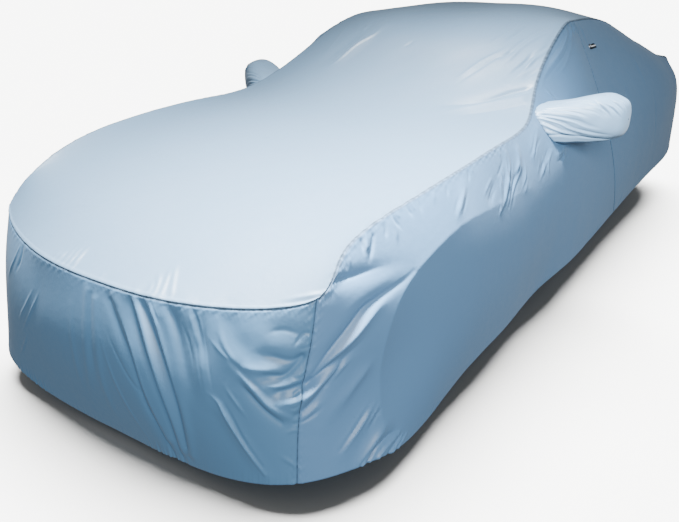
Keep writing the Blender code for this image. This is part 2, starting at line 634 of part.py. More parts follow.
def hide_cutter(cutter):
    cutter.hide_render = True
    cutter.display_type = "WIRE"
    return cutter


def cut(target, cutter):
    trim = target.modifiers.new("cut_" + cutter.name, "BOOLEAN")
    trim.operation = "DIFFERENCE"
    trim.solver = "EXACT"
    trim.object = hide_cutter(cutter)


def panel_backing(cover, panel_name, name):
    """Thick copy of a side panel, from a seam gap outside it to well inside, which trims a pocket."""
    rows, directions = cover.panel(panel_name)
    outer = (rows + directions * (SHEET / 2 + SEAM_GAP)).reshape(-1, 3)
    inner = (rows - directions * MOUTH_REACH).reshape(-1, 3)
    inner[:, 0] = np.sign(inner[:, 0]) * (np.abs(inner[:, 0]) - MOUTH_REACH)
    count = len(outer)
    index = np.arange(count).reshape(rows.shape[:2])
    faces = []
    for i in range(len(rows) - 1):
        faces += strip(list(index[i]), DROPS, list(index[i + 1]), DROPS)
    under = [(a + count, c + count, b + count) for a, b, c in faces]
    rim = list(index[:, 0]) + list(index[-1, 1:]) + list(index[-2::-1, -1]) + list(index[0, -2:0:-1])
    walls = rim_walls(rim, count, outer)
    made = new_object(name, np.concatenate([outer, inner]), faces + under + walls)
    face_outwards(made)
    return made


def mouth_cutter(name, side):
    """Solid plug of the pocket's mouth, which opens the side panel."""
    x, y, z, half_y, half_z = POCKET_SECTIONS[1]
    rings = []
    for end in (x - 2 * MOUTH_REACH / MM, x + MOUTH_REACH / MM):
        rings.append(ring_points(end, y, z, half_y * POCKET_MOUTH, half_z * POCKET_MOUTH))
    points = np.concatenate(rings) * (side, 1, 1)
    steps = POCKET_STEPS
    faces = tube_faces(0, 2, steps)
    faces.append(tuple(range(steps)))
    faces.append(tuple(range(2 * steps - 1, steps - 1, -1)))
    made = new_object(name, points, faces)
    face_outwards(made)
    return made


# ---------------------------------------------------------------- tab
def tab_object(panel, finish):
    """Flat webbing tab that lies on the left rear side panel."""
    tree = BVHTree.FromObject(panel, bpy.context.evaluated_depsgraph_get())
    station, drop = TAB_START
    start = skirt_points([station], [[drop]])[0, 0]
    ahead = skirt_points([station + 0.1], [[drop]])[0, 0]
    below = skirt_points([station], [[drop + 0.05]])[0, 0]
    along = unit(ahead - start)
    down = unit(below - start)
    down = unit(down - along * (down @ along))
    away = np.cross(down, along)
    low = []
    high = []
    for i in range(TAB_STEPS + 1):
        for j in (0, 1):
            place = start + along * TAB_LENGTH * i / TAB_STEPS + down * TAB_WIDTH * j
            spot = np.array(tree.find_nearest(place + away * TAB_REACH - HOLD_POINT)[0]) + HOLD_POINT
            low.append(spot + away * TAB_GAP)
            high.append(spot + away * (TAB_GAP + SHEET))
    count = len(low)
    faces = []
    for i in range(TAB_STEPS):
        a = 2 * i
        faces += [(a, a + 1, a + 3), (a, a + 3, a + 2)]
    under = [(a + count, c + count, b + count) for a, b, c in faces]
    rim = list(range(count - 2, -1, -2)) + list(range(1, count, 2))
    walls = rim_walls(rim, count, np.array(high))
    made = new_object("side_tab", np.array(low + high), faces + under + walls, finish)
    face_outwards(made)
    return made


# ---------------------------------------------------------------- the cover
def build():
    for old in list(bpy.data.objects):
        bpy.data.objects.remove(old, do_unlink=True)
    cover = Cover()
    made = {"top_panel": top_panel(cover, material("top_cloth", TOP_COLOUR, CLOTH_ROUGHNESS))}
    for name in SKIRT_PANELS:
        made[name] = skirt_panel(cover, name, material(name + "_cloth", CLOTH_COLOUR, CLOTH_ROUGHNESS))
    for word, side in (("left", 1), ("right", -1)):
        panel = made["side_front_" + word]
        pocket = pocket_object("mirror_pocket_" + word, side,
                               material("pocket_cloth_" + word, CLOTH_COLOUR, CLOTH_ROUGHNESS))
        cut(pocket, panel_backing(cover, panel.name, "pocket_trim_" + word))
        cut(panel, mouth_cutter("pocket_mouth_" + word, side))
    bpy.context.view_layer.update()
    tab_object(made["side_rear_left"], material("tab_webbing", TAB_COLOUR, TAB_ROUGHNESS))


build()
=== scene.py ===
"""Dressed model of the fitted cover: fine cloth with creases, seams, hem, pockets and tab, in a pale studio.

The cloth lies on the same sections, crown line and main folds as the solids, in metres. Tables give places
over the ground line; the finished pieces are moved so that the underside of the roof cloth is the origin.
"""
import math
import bmesh
import bpy
import numpy as np
from mathutils import Matrix, Vector
from mathutils.bvhtree import BVHTree
from mathutils.kdtree import KDTree


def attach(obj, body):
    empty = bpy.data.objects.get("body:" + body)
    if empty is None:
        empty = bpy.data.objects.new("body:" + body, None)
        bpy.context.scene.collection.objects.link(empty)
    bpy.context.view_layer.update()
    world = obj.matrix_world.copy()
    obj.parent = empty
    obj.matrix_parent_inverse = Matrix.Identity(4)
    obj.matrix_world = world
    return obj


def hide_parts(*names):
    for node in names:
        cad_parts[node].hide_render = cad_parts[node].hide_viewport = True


# ---------------------------------------------------------------- driving dimensions
MM = 0.001
HOLD_POINT = (0.0, 0.465, 1.344)  # underside of the roof cloth, over the ground line

# Sections of the left half, from the nose round to the tail: x, y, z in millimetres.
STATIONS = (
    # name           seam                shoulder            waist               hem
    ("nose",         (0, -2300, 635),    (0, -2318, 558),    (0, -2340, 425),    (0, -2280, 30)),
    ("nose_side",    (415, -2262, 647),  (415, -2280, 570),  (410, -2308, 425),  (405, -2290, 55)),
    ("front_corner", (755, -2115, 705),  (755, -2145, 570),  (745, -2180, 420),  (755, -2230, 120)),
    ("corner_side",  (765, -1985, 815),  (860, -1905, 605),  (860, -1920, 420),  (895, -2020, 135)),
    ("fender_front", (805, -1725, 895),  (882, -1672, 750),  (925, -1625, 485),  (925, -1780, 125)),
    ("fender_top",   (830, -1350, 935),  (895, -1318, 795),  (950, -1285, 525),  (920, -1420, 175)),
    ("fender_back",  (820, -975, 950),   (900, -950, 765),   (945, -945, 550),   (920, -1045, 200)),
    ("pillar_foot",  (780, -630, 970),   (900, -620, 785),   (935, -620, 550),   (905, -675, 220)),
    ("pillar_mid",   (690, -315, 1110),  (895, -300, 815),   (935, -300, 570),   (920, -310, 230)),
    ("pillar_top",   (635, 75, 1270),    (885, -50, 850),    (930, -20, 580),    (915, 60, 245)),
    ("door_seam",    (595, 355, 1295),   (880, 150, 860),    (930, 260, 585),    (905, 480, 270)),
    ("roof_back",    (560, 995, 1250),   (875, 900, 895),    (925, 920, 620),    (895, 1000, 295)),
    ("back_glass",   (600, 1450, 1120),  (870, 1445, 905),   (915, 1440, 630),   (895, 1455, 315)),
    ("deck",         (690, 1855, 980),   (825, 1845, 875),   (875, 1835, 620),   (875, 1855, 330)),
    ("tail_side",    (710, 2110, 935),   (760, 2115, 845),   (815, 2105, 600),   (805, 2125, 345)),
    ("rear_corner",  (645, 2230, 925),   (655, 2265, 815),   (685, 2290, 600),   (685, 2280, 345)),
    ("tail_mid",     (375, 2280, 905),   (375, 2330, 820),   (385, 2380, 600),   (380, 2340, 340)),
    ("tail",         (0, 2300, 880),     (0, 2350, 820),     (0, 2405, 600),     (0, 2360, 340)),
)
# Centre line of the top panel from corner_side to tail_side: y, z in millimetres.
CROWN = (
    (-2100, 725), (-1800, 815), (-1420, 880), (-1020, 925), (-680, 990), (-345, 1145),
    (10, 1300), (465, 1345), (985, 1285), (1450, 1155), (1865, 1000), (2130, 955),
)
CROWN_FALL = 2.4  # how sharply the crown falls to the seams
FRONT_CORNER = 2.0  # station numbers of the top panel's front and rear corners
REAR_CORNER = 15.0
TAIL = 17.0
ROUND = 34.0  # stations all the way round; right-hand ones count back from here

# Main folds, as in the solids. Places on the skirt are (station, drop), drop 0 at the seam and 1 at the hem;
# places on the top panel are (station, across), across -1 at the right seam and 1 at the left one. Half
# width and height in millimetres, a trough below zero; form 2 is a soft round fold and 1 a sharp one. The
# strength at an end is the share of the height that is left there.
SKIRT_FOLDS = (
    # half width, height, form, strength at both ends, then station and drop of each place
    # the bundle that runs down the nose
    (24, -7, 2, .5, .6, .09, 0, .25, .16, .39, .32, .49, .5, .59, .76, .69, .97),
    (22, 7, 2, .5, .8, .2, .04, .37, .22, .49, .42, .58, .63, .68, .84),
    (20, -9, 2, .9, .6, .38, 0, .47, .18, .59, .35, .7, .55, .77, .75, .8, .97),
    (24, 11, 2, .9, .7, .43, 0, .55, .17, .67, .36, .78, .58, .83, .9),
    (20, -10, 2, 1, .6, .48, 0, .65, .21, .79, .41, .87, .63, .87, .92),
    (22, 9, 2, 1, .5, .6, 0, .74, .22, .86, .42, .92, .66, .92, .9),
    (20, 6, 2, 1, 0, .69, 0, .82, .2, .92, .4, .99, .62),
    (26, -6, 2, 1, 0, .76, 0, .87, .17, .96, .38, 1.03, .6),
    (24, 5, 2, 1, 0, .92, 0, 1.04, .2, 1.13, .4, 1.18, .6),
    (24, -5, 2, .6, 0, .96, .02, 1.06, .17, 1.14, .33),
    # the slack to the right of it, up to the corner seam
    (40, 4, 2, .6, .3, 1.16, .02, 1.3, .21, 1.52, .34),
    (40, -5, 2, .8, .3, 1.22, .02, 1.36, .16, 1.6, .26),
    (30, -3, 2, 0, .8, 1.57, .14, 1.72, .12, 1.9, .16),
    (22, -7, 2, 0, .8, 1.52, .23, 1.7, .27, 1.85, .3, 1.95, .29),
    (24, 5, 2, .1, .3, 1.4, .28, 1.6, .33, 1.84, .35),
    (22, -10, 2, .1, .8, 1.55, .37, 1.79, .38, 1.95, .32),
    (20, 6, 2, .1, .6, 1.62, .4, 1.8, .43, 1.98, .42),
    (20, -8, 2, .1, .9, 1.7, .47, 1.85, .46, 2.04, .45),
    (24, 9, 2, .1, .4, 1.76, .53, 1.98, .52, 2.2, .46),
    (34, 9, 2, .1, .5, 1.4, .3, 1.57, .42, 1.74, .54, 1.96, .62),
    (22, -8, 2, .1, .5, 1.4, .36, 1.55, .46, 1.72, .57, 1.9, .65),
    (26, 6, 2, 0, .5, 1.17, .45, 1.35, .6, 1.55, .8, 1.72, .95),
    # far front corner
    (40, -2, 2, .6, .3, -.8, .06, -.86, .3, -1.1, .56),
    (40, 2, 2, .8, .3, -1.23, .03, -1.32, .16, -1.52, .34),
    # the big folds that run from the corner seam to the fender edge
    (26, -7, 2, 1, .1, 2.2, 0, 2.44, .01, 2.95, .11, 3.64, .22),
    (22, -9, 2, .1, .6, 3.59, .25, 3.09, .25, 2.64, .23, 2.37, .27, 2.19, .33, 2.07, .42),
    (22, 7, 2, .1, .7, 3.2, .27, 2.8, .28, 2.52, .31, 2.3, .34, 2.1, .41),
    (20, -8, 2, .1, .7, 2.62, .37, 2.37, .39, 2.14, .42, 1.94, .49),
    (22, 8, 2, .1, .5, 2.46, .41, 2.29, .44, 2.14, .51, 1.96, .57),
    (20, -8, 2, .1, .6, 2.45, .43, 2.27, .49, 2.14, .56, 1.96, .62),
    (26, 7, 2, 0, .2, 2.84, .49, 2.6, .58, 2.29, .72),
    (28, 7, 2, .1, .5, 2.98, .71, 2.77, .8, 2.55, .9),
    (26, 9, 2, .2, .8, 3.16, .86, 2.98, .91, 2.84, .98),
    (20, -8, 2, .5, 1, 3.32, .91, 3.11, .94, 2.94, .99),
    (80, 15, 1, .7, .2, 3.16, .93, 3.02, .74, 2.94, .56, 2.97, .43, 3.12, .35, 3.45, .28,
     3.92, .23, 4.5, .2, 5.14, .23, 6.2, .28),
    # the upper side and the pillar
    (22, 4, 2, .5, 0, 4.86, .07, 4.69, .12, 4.46, .19),
    (20, -3, 2, .4, 0, 5.44, .14, 5.26, .17, 5.08, .22),
    (20, 5, 2, .5, 0, 5.89, .05, 5.78, .15, 5.66, .22, 5.5, .28),
    (20, -5, 2, .5, .1, 6.15, .12, 5.91, .18, 5.7, .24, 5.52, .29),
    (20, 4, 2, .7, 0, 6.24, .07, 6.14, .12, 5.86, .19),
    (24, 6, 2, .7, 0, 7.04, .07, 6.7, .11, 6.46, .19),
    (22, -5, 2, .7, 0, 7.14, .17, 6.8, .21, 6.5, .27),
    (24, 6, 2, .9, 0, 9.06, .02, 8.73, .04, 8.38, .035, 8, .03),
    (110, 22, 1, .9, 0, 9.2, .03, 8.9, .06, 8.63, .07, 8.4, .065, 8.05, .045),
    # the rear
    (60, 8, 2, .6, 0, 12.2, .05, 12.6, .25, 12.7, .5),
    (60, -7, 2, .6, 0, 13.4, .04, 13.1, .25, 12.9, .55),
    (50, 8, 2, .6, .2, 14.7, .06, 14.3, .35, 13.8, .7),
    (50, 8, 2, .6, .2, 15.4, .05, 15.9, .4, 16.2, .8),
    (50, -7, 2, .5, .2, 16.1, .04, 16.5, .35, 17.1, .75),
)
TOP_FOLDS = (
    # half width, height, form, strength at both ends, then station and across of each place
    (34, -8, 2, 0, 1, 6.95, .42, 7.14, .56, 7.34, .69, 7.56, .82, 7.77, .98),
    (40, 9, 2, 0, 1, 6.8, .46, 7.08, .65, 7.28, .78, 7.58, .98),
    (46, 6, 2, 0, .5, 7.45, .45, 7.85, .57, 8.2, .7, 8.66, .84),
    (44, 8, 2, 0, .5, 7.52, -.54, 7.86, -.49, 8.2, -.45, 8.68, -.38),
    (44, -7, 2, 0, .5, 7.62, -.66, 8.1, -.58, 8.72, -.52),
    (70, -7, 2, .3, 0, 11.2, .78, 11.9, .55, 12.4, .25),
    (70, -7, 2, .3, 0, 11.2, -.78, 11.8, -.5, 12.5, -.2),
)
MAIN_STEPS = 24  # places read off along a main fold, a fine one and one on the top panel or a pocket
FINE_STEPS = 18
TOP_STEPS = 16
FADE = 0.4  # share of a fold over which its strength changes at an end
RIGHT_SHIFT = 0.07  # the right side's folds lie this many stations further back
RIGHT_SHARE = 0.8  # and are this much as high
RIGHT_FROM = 1.95  # only folds behind this station are repeated on the right

# Fine creases on top of the main folds. Lean makes one flank steep: below 1 the flank to the left of the
# path, seen from outside, and above 1 the flank to its right.
FINE_SKIRT_FOLDS = (
    # half width, height, lean, strength at both ends, then station and drop of each place
    # the bundle that runs down the nose
    (8, -4.5, .8, .3, .8, .17, .07, .3, .23, .44, .4, .52, .64, .59, .76, .7, .99),
    (6, -2.5, 1, .1, .3, .15, .25, .27, .38, .39, .5, .49, .57),
    (7, 3, 1, .3, .3, .27, .12, .44, .31, .54, .52, .64, .74),
    (8, -5, .8, .8, .6, .39, .03, .47, .19, .57, .33, .7, .55, .75, .72, .79, .95),
    (10, 4, 1, .6, .4, .45, .03, .55, .17, .67, .36, .79, .62, .82, .87),
    (8, -5.5, .8, .8, .6, .49, .02, .65, .21, .79, .41, .87, .63, .88, .86),
    (5, -3.5, 1, 1, .1, .54, .02, .6, .1, .67, .19),
    (5, -4, 1, 1, .1, .62, .02, .66, .07, .7, .13),
    (7, 3.5, 1, .8, .1, .62, .03, .74, .22, .85, .41, .9, .6),
    (10, -3.5, .9, 1, .1, .77, .02, .87, .17, .94, .37),
    (6, -3, 1, .2, .1, .9, .11, .98, .22, 1.05, .37),
    (6, 3, 1, 1, .1, .94, .02, 1, .13, 1.05, .22),
    (6, 2.5, 1, 1, .1, 1, .02, 1.05, .09, 1.1, .18),
    (6, -3, 1, 1, .1, .98, .02, 1.04, .12, 1.14, .31),
    (16, 2.5, 1, 1, .1, -.12, .06, -.13, .3, -.17, .55, -.28, .81),
    (16, 2.5, 1, 1, .1, -.01, .1, .02, .37, 0, .66, .04, .9),
    (12, -2, 1, .6, .1, -.07, .08, -.06, .35, -.09, .62),
    (14, 2, 1, .3, .1, -.33, .18, -.33, .48, -.36, .75),
    (7, 2, 1, .3, .2, .07, .3, .16, .5, .27, .72, .42, .95),
    (5, -2.5, 1, .2, .2, .98, .08, 1.07, .28, 1.13, .45),
    (5, -2.5, 1, .2, .2, 1.04, .05, 1.14, .24, 1.22, .44),
    # the slack to the right of it, up to the corner seam
    (10, 3, 1, .4, .2, 1.19, .06, 1.3, .21, 1.49, .33),
    (5, 2, 1, .2, .2, 1.13, .15, 1.27, .23, 1.42, .3),
    (7, -3, 1, .2, .3, 1.2, .14, 1.36, .27, 1.55, .38, 1.76, .5),
    (12, -2.5, 1, .1, .1, 1.33, .25, 1.48, .33, 1.62, .37),
    (7, -2, 1, .1, .7, 1.6, .135, 1.72, .12, 1.86, .155),
    (8, -4.5, 1.2, .1, 1, 1.56, .24, 1.72, .27, 1.85, .3, 1.94, .29),
    (9, 2.5, 1, .1, .3, 1.44, .3, 1.6, .325, 1.79, .35),
    (8, -6, 1.3, .2, .8, 1.57, .37, 1.7, .365, 1.82, .38, 1.91, .335, 1.96, .3),
    (7, 3, 1, .1, .5, 1.64, .405, 1.8, .43, 1.92, .42),
    (8, -5, 1.2, .1, .9, 1.72, .465, 1.85, .46, 2, .45),
    (9, 4, 1, .1, .5, 1.82, .53, 1.98, .515, 2.16, .47),
    (12, 6, .8, .2, .5, 1.46, .34, 1.57, .42, 1.74, .54, 1.94, .62),
    (8, -5.5, .8, .1, .6, 1.45, .39, 1.55, .46, 1.7, .56, 1.84, .635),
    (6, 4.5, 1, .2, .7, 1.17, .46, 1.27, .51, 1.35, .6, 1.55, .8, 1.7, .93),
    (6, -4, 1, .1, .5, 1.3, .49, 1.4, .6, 1.5, .72, 1.67, .88),
    (6, 3, 1, .1, .2, 1.32, .41, 1.42, .5, 1.53, .59),
    (7, 3, 1, .1, .7, 1.82, .82, 1.94, .87, 2.02, .91),
    (5, -3.5, 1, .8, .1, 2, .18, 1.92, .16, 1.88, .19, 1.86, .22),
    (5, -3, 1, 1, .1, 2, .235, 1.95, .245, 1.9, .235),
    (5, -3, 1, 1, .1, 2, .39, 1.95, .405, 1.89, .39),
    (5, -3, 1, 1, .1, 2, .54, 1.95, .56, 1.9, .55),
    (5, 2.5, 1, 1, .1, 2, .7, 1.94, .69, 1.88, .71),
    # far front corner
    (6, 3.5, 1, .6, .2, -1.23, .04, -1.32, .14, -1.42, .23, -1.52, .32),
    (6, 3, 1, .1, .2, -.92, .22, -1.03, .33, -1.18, .45, -1.28, .53),
    (6, 3, 1, .1, .2, -1.15, .6, -1.28, .72, -1.45, .85),
    (6, 3, 1, .1, .2, -.82, .21, -1, .4, -1.27, .62),
    (7, -3.5, 1, .8, .2, -1.16, .02, -1.2, .12, -1.3, .22),
    # the big folds that run from the corner seam to the fender edge
    (7, -5, 1, 1, 0, 2.26, 0, 2.44, .01, 2.7, .06, 2.95, .11, 3.42, .19),
    (8, -7, 1.3, .2, .6, 3.59, .25, 3.29, .26, 2.9, .24, 2.64, .23, 2.37, .27, 2.19, .33, 2.09, .41),
    (8, 4.5, .9, .1, .6, 3.02, .28, 2.69, .29, 2.4, .33, 2.2, .37, 2.1, .42),
    (6, -3.5, 1, .1, .3, 2.62, .36, 2.42, .4, 2.37, .44, 2.28, .51),
    (7, -5, 1.2, .2, .9, 2.37, .39, 2.22, .4, 2.07, .45, 1.94, .49),
    (8, 3.5, 1, .2, .4, 2.34, .42, 2.2, .47, 2.04, .53, 1.95, .57),
    (7, -5, 1.2, .2, .6, 2.39, .42, 2.27, .49, 2.14, .56, 1.96, .61),
    (6, 3, 1, .1, .1, 2.54, .42, 2.4, .45, 2.28, .52),
    (7, 3.5, 1, .1, .5, 2.25, .58, 2.14, .61, 2.03, .64),
    (6, -3.5, 1, .1, .8, 2.29, .61, 2.12, .645, 1.96, .655),
    (12, 3, 1, .1, .1, 2.82, .5, 2.66, .56, 2.46, .66),
    (7, 4, 1, .1, .4, 2.94, .73, 2.78, .8, 2.57, .89),
    (6, -3.5, 1, .1, .4, 2.89, .71, 2.72, .79, 2.5, .88),
    (6, 3, 1, .1, .2, 3.02, .74, 2.94, .78, 2.84, .82),
    (6, -3, 1, .1, .2, 3.05, .77, 2.97, .8, 2.88, .85),
    # puckers of the hem in front of its first arch
    (10, 5, 1, .3, 1, 3.14, .86, 3, .9, 2.86, .97),
    (5, -6, 1.2, .4, 1, 3.29, .91, 3.1, .93, 2.93, .985),
    (5, -5, 1, .4, 1, 3.05, .935, 2.99, .965, 2.93, .995),
    (5, -4.5, 1, .4, 1, 2.97, .93, 2.89, .955, 2.8, .99),
    (6, 5, 1, .4, 1, 3.44, .93, 3.24, .955, 3.1, .99),
    (5, -5, 1, .4, 1, 3.5, .94, 3.36, .97, 3.27, .995),
    (5, 4, 1, .4, 1, 3.52, .955, 3.44, .975, 3.36, 1),
    (5, 3.5, 1, .4, 1, 3.64, .955, 3.55, .975, 3.49, .99),
    (5, -3.5, 1, .4, 1, 3.6, .95, 3.5, .975, 3.44, .99),
    # puckers under the long side seam
    (6, -6, 1, 1, .2, 3.31, 0, 3.26, .03, 3.18, .07),
    (8, 6, 1, 1, .2, 3.42, 0, 3.3, .045, 3.19, .075),
    (6, -5, 1, .7, .2, 3.44, .04, 3.31, .075, 3.17, .105),
    (5, -4, 1, 1, .2, 2.9, 0, 2.86, .03, 2.8, .06),
    (5, 3, 1, 1, .2, 3.02, 0, 2.97, .03, 2.9, .055),
    (5, -4.5, 1, 1, .1, 3.82, 0, 3.79, .04, 3.79, .08),
    (6, 4, 1, 1, .1, 3.88, 0, 3.86, .045),
    (6, -4, 1, 1, .1, 3.7, .01, 3.62, .05, 3.54, .08),
    (6, 4, 1, 1, .1, 3.78, .02, 3.72, .07, 3.62, .12),
    (5, -4.5, 1, 1, .1, 4.04, 0, 4.02, .035, 4.02, .065),
    (5, 3.5, 1, 1, .1, 4.1, 0, 4.08, .05),
    (5, -4, 1, 1, .1, 4.2, 0, 4.18, .03, 4.13, .075),
    (5, 3, 1, 1, .1, 4.42, 0, 4.4, .03, 4.34, .06),
    (5, -3.5, 1, 1, .1, 4.62, 0, 4.6, .04, 4.54, .07),
    (5, -3.5, 1, 1, .1, 5.06, 0, 5.02, .04, 4.96, .07),
    (5, 3, 1, 1, .1, 5.14, 0, 5.1, .05),
    (6, 2.1, 1, .4, .1, 4.85, .08, 4.69, .12, 4.46, .18),
    (5, -1.8, 1, .3, .1, 4.87, .1, 4.72, .14, 4.57, .175),
    (6, -1.8, 1, .2, .1, 4.74, .085, 4.6, .12, 4.5, .15),
    (7, -2.1, 1, .2, .1, 5.42, .14, 5.26, .17, 5.09, .21),
    (6, 1.8, 1, .2, .1, 5.44, .11, 5.27, .135, 5.08, .165),
    (6, -1.5, 1, .2, .1, 5.38, .17, 5.26, .19, 5.17, .215),
    # crumpled cloth in front of the pocket
    (14, 2.5, 1, .5, .1, 6.15, .12, 5.91, .18, 5.7, .24, 5.52, .29),
    (13, -2, 1, .5, 0, 5.89, .05, 5.78, .15, 5.66, .22, 5.5, .28),
    (16, 2.5, 1, .7, 0, 7.14, .17, 6.8, .21, 6.5, .27),
    (16, -2.5, 1, .7, 0, 7.04, .07, 6.7, .11, 6.46, .19),
    (5, -2.4, 1, .4, .2, 5.86, .08, 5.82, .13, 5.76, .17, 5.7, .22),
    (5, 2.4, 1, .4, .2, 5.9, .05, 5.81, .11, 5.7, .18, 5.66, .22, 5.53, .275),
    (5, -2.7, 1, .3, .2, 6.14, .125, 5.91, .18, 5.76, .22, 5.53, .285),
    (5, 2.4, 1, .6, .1, 6.2, .07, 6.14, .12, 6.04, .15, 5.74, .215),
    (5, -1.8, 1, .2, .1, 5.74, .13, 5.61, .18, 5.43, .27),
    (6, 2.1, 1, .2, .1, 5.66, .13, 5.52, .17, 5.45, .225),
    (6, -2.1, 1, .2, .1, 5.38, .235, 5.32, .26, 5.25, .285),
    (6, 2.4, 1, .9, .1, 5.85, 0, 5.79, .03, 5.73, .06),
    (6, -2.1, 1, .2, .1, 5.82, .065, 5.62, .11, 5.5, .125),
    (7, -2.4, 1, .3, .1, 6.91, .07, 6.66, .11, 6.43, .145),
    (7, 2.7, 1, .4, .1, 7.06, .07, 6.71, .11, 6.5, .175),
    (6, -2.1, 1, .3, .1, 7.04, .11, 6.74, .125, 6.55, .175),
    (6, -2.1, 1, .5, .1, 7.08, .19, 6.76, .22, 6.53, .265),
    (6, 2.1, 1, .5, .1, 7.17, .22, 6.84, .235, 6.58, .275),
    (6, 1.5, 1, .1, .1, 6.72, .19, 6.6, .215, 6.5, .245),
    (6, -1.8, 1, .4, .1, 7.5, .285, 7.38, .3, 7.26, .315),
    (6, 1.8, 1, .4, .1, 7.5, .31, 7.4, .325, 7.3, .34),
    (15, 7, 1, .3, .3, 7.22, .265, 7.42, .28, 7.62, .305),
    (5, -2.4, 1, .3, .3, 7.16, .29, 7.38, .315, 7.6, .34),
    (8, -1.5, 1, .1, .1, 6.24, .16, 6.12, .19, 6.03, .225),
    (8, 1.5, 1, .1, .1, 6.21, .23, 6.1, .26, 6, .29),
    (6, 3, 1, .2, .1, 5.94, .03, 5.89, .11, 5.72, .17, 5.47, .25, 5.24, .28),
    (5, -2.5, 1, .2, .1, 6, .04, 5.94, .12, 5.78, .18, 5.53, .255, 5.32, .285),
    (6, 3, 1, .2, .1, 6.17, .06, 6.17, .14, 5.92, .2, 5.69, .25, 5.52, .31),
    (5, -2.5, 1, .2, .1, 5.62, .1, 5.6, .17, 5.46, .24),
    (6, 2.5, 1, .2, .1, 6.81, .17, 6.78, .23, 6.51, .28),
    (5, 2.5, 1, .2, .1, 6.28, .12, 6.2, .2, 5.95, .26),
    (6, 2.5, 1, .2, .1, 7.07, .22, 6.89, .25, 6.82, .3),
    (6, 2, 1, .2, .1, 7.44, .29, 7.44, .36),
    (12, 2.5, 1, .2, .2, 5.42, .135, 5.26, .165, 5.12, .2),
    (11, 3, 1, .2, .2, 6.18, .115, 6.05, .15, 5.92, .18),
    (11, 2.5, 1, .1, .1, 5.42, .22, 5.34, .26, 5.27, .29),
    # the pillar and the pleats behind it
    (6, 5, 1, .9, .2, 9.09, .01, 8.96, .03, 8.73, .042, 8.51, .042, 8.2, .03, 7.86, .03),
    (6, -6, 1, .9, .3, 9.06, 0, 8.94, .018, 8.75, .028, 8.5, .022, 8.16, .012),
    (5, -3.5, 1, .9, .3, 9.15, .02, 8.88, .06, 8.63, .072, 8.36, .062, 8.04, .045),
    (7, 2.5, 1, .6, .2, 9.24, .04, 8.96, .085, 8.6, .105, 8.26, .09),
    (7, -6, 1, 1, .1, 9.3, 0, 9.12, .04, 8.91, .055),
    (7, 5, 1, 1, .1, 9.42, 0, 9.3, .03, 9.15, .055),
    (7, -6, 1, 1, .1, 9.6, 0, 9.47, .045, 9.33, .075),
    (7, 5, 1, 1, .1, 9.7, 0, 9.62, .03, 9.54, .06),
    (7, -5, 1, 1, .1, 9.86, 0, 9.8, .045, 9.73, .075),
    (7, 5, 1, .8, .6, 10.16, .02, 10.18, .07, 10.19, .13),
    (7, 5.5, 1.2, .3, .4, 7.91, .065, 7.93, .095, 7.94, .125),
    (6, -4, 1, .3, .4, 7.99, .08, 7.99, .11, 8.02, .14),
    # behind the seam in the door
    (9, -2.5, 1, .1, .1, 10.61, .36, 10.59, .4, 10.57, .44),
    (16, -2.5, 1, .1, .1, 11.23, .44, 11.31, .63, 11.41, .82),
    (14, 2.5, 1, .1, .1, 11.1, .24, 11.05, .34, 11.1, .46),
    (9, -3.5, 1, .8, 0, 13.1, .01, 13.15, .08, 13.3, .18),
    (9, 3.5, 1, .8, 0, 13.5, .01, 13.4, .09, 13.5, .2),
    (7, -3, 1, .8, 0, 14.2, .01, 14.1, .08, 13.9, .16),
    (7, 3, 1, .2, 1, 10.25, .9, 10.2, .95, 10.1, .99),
)
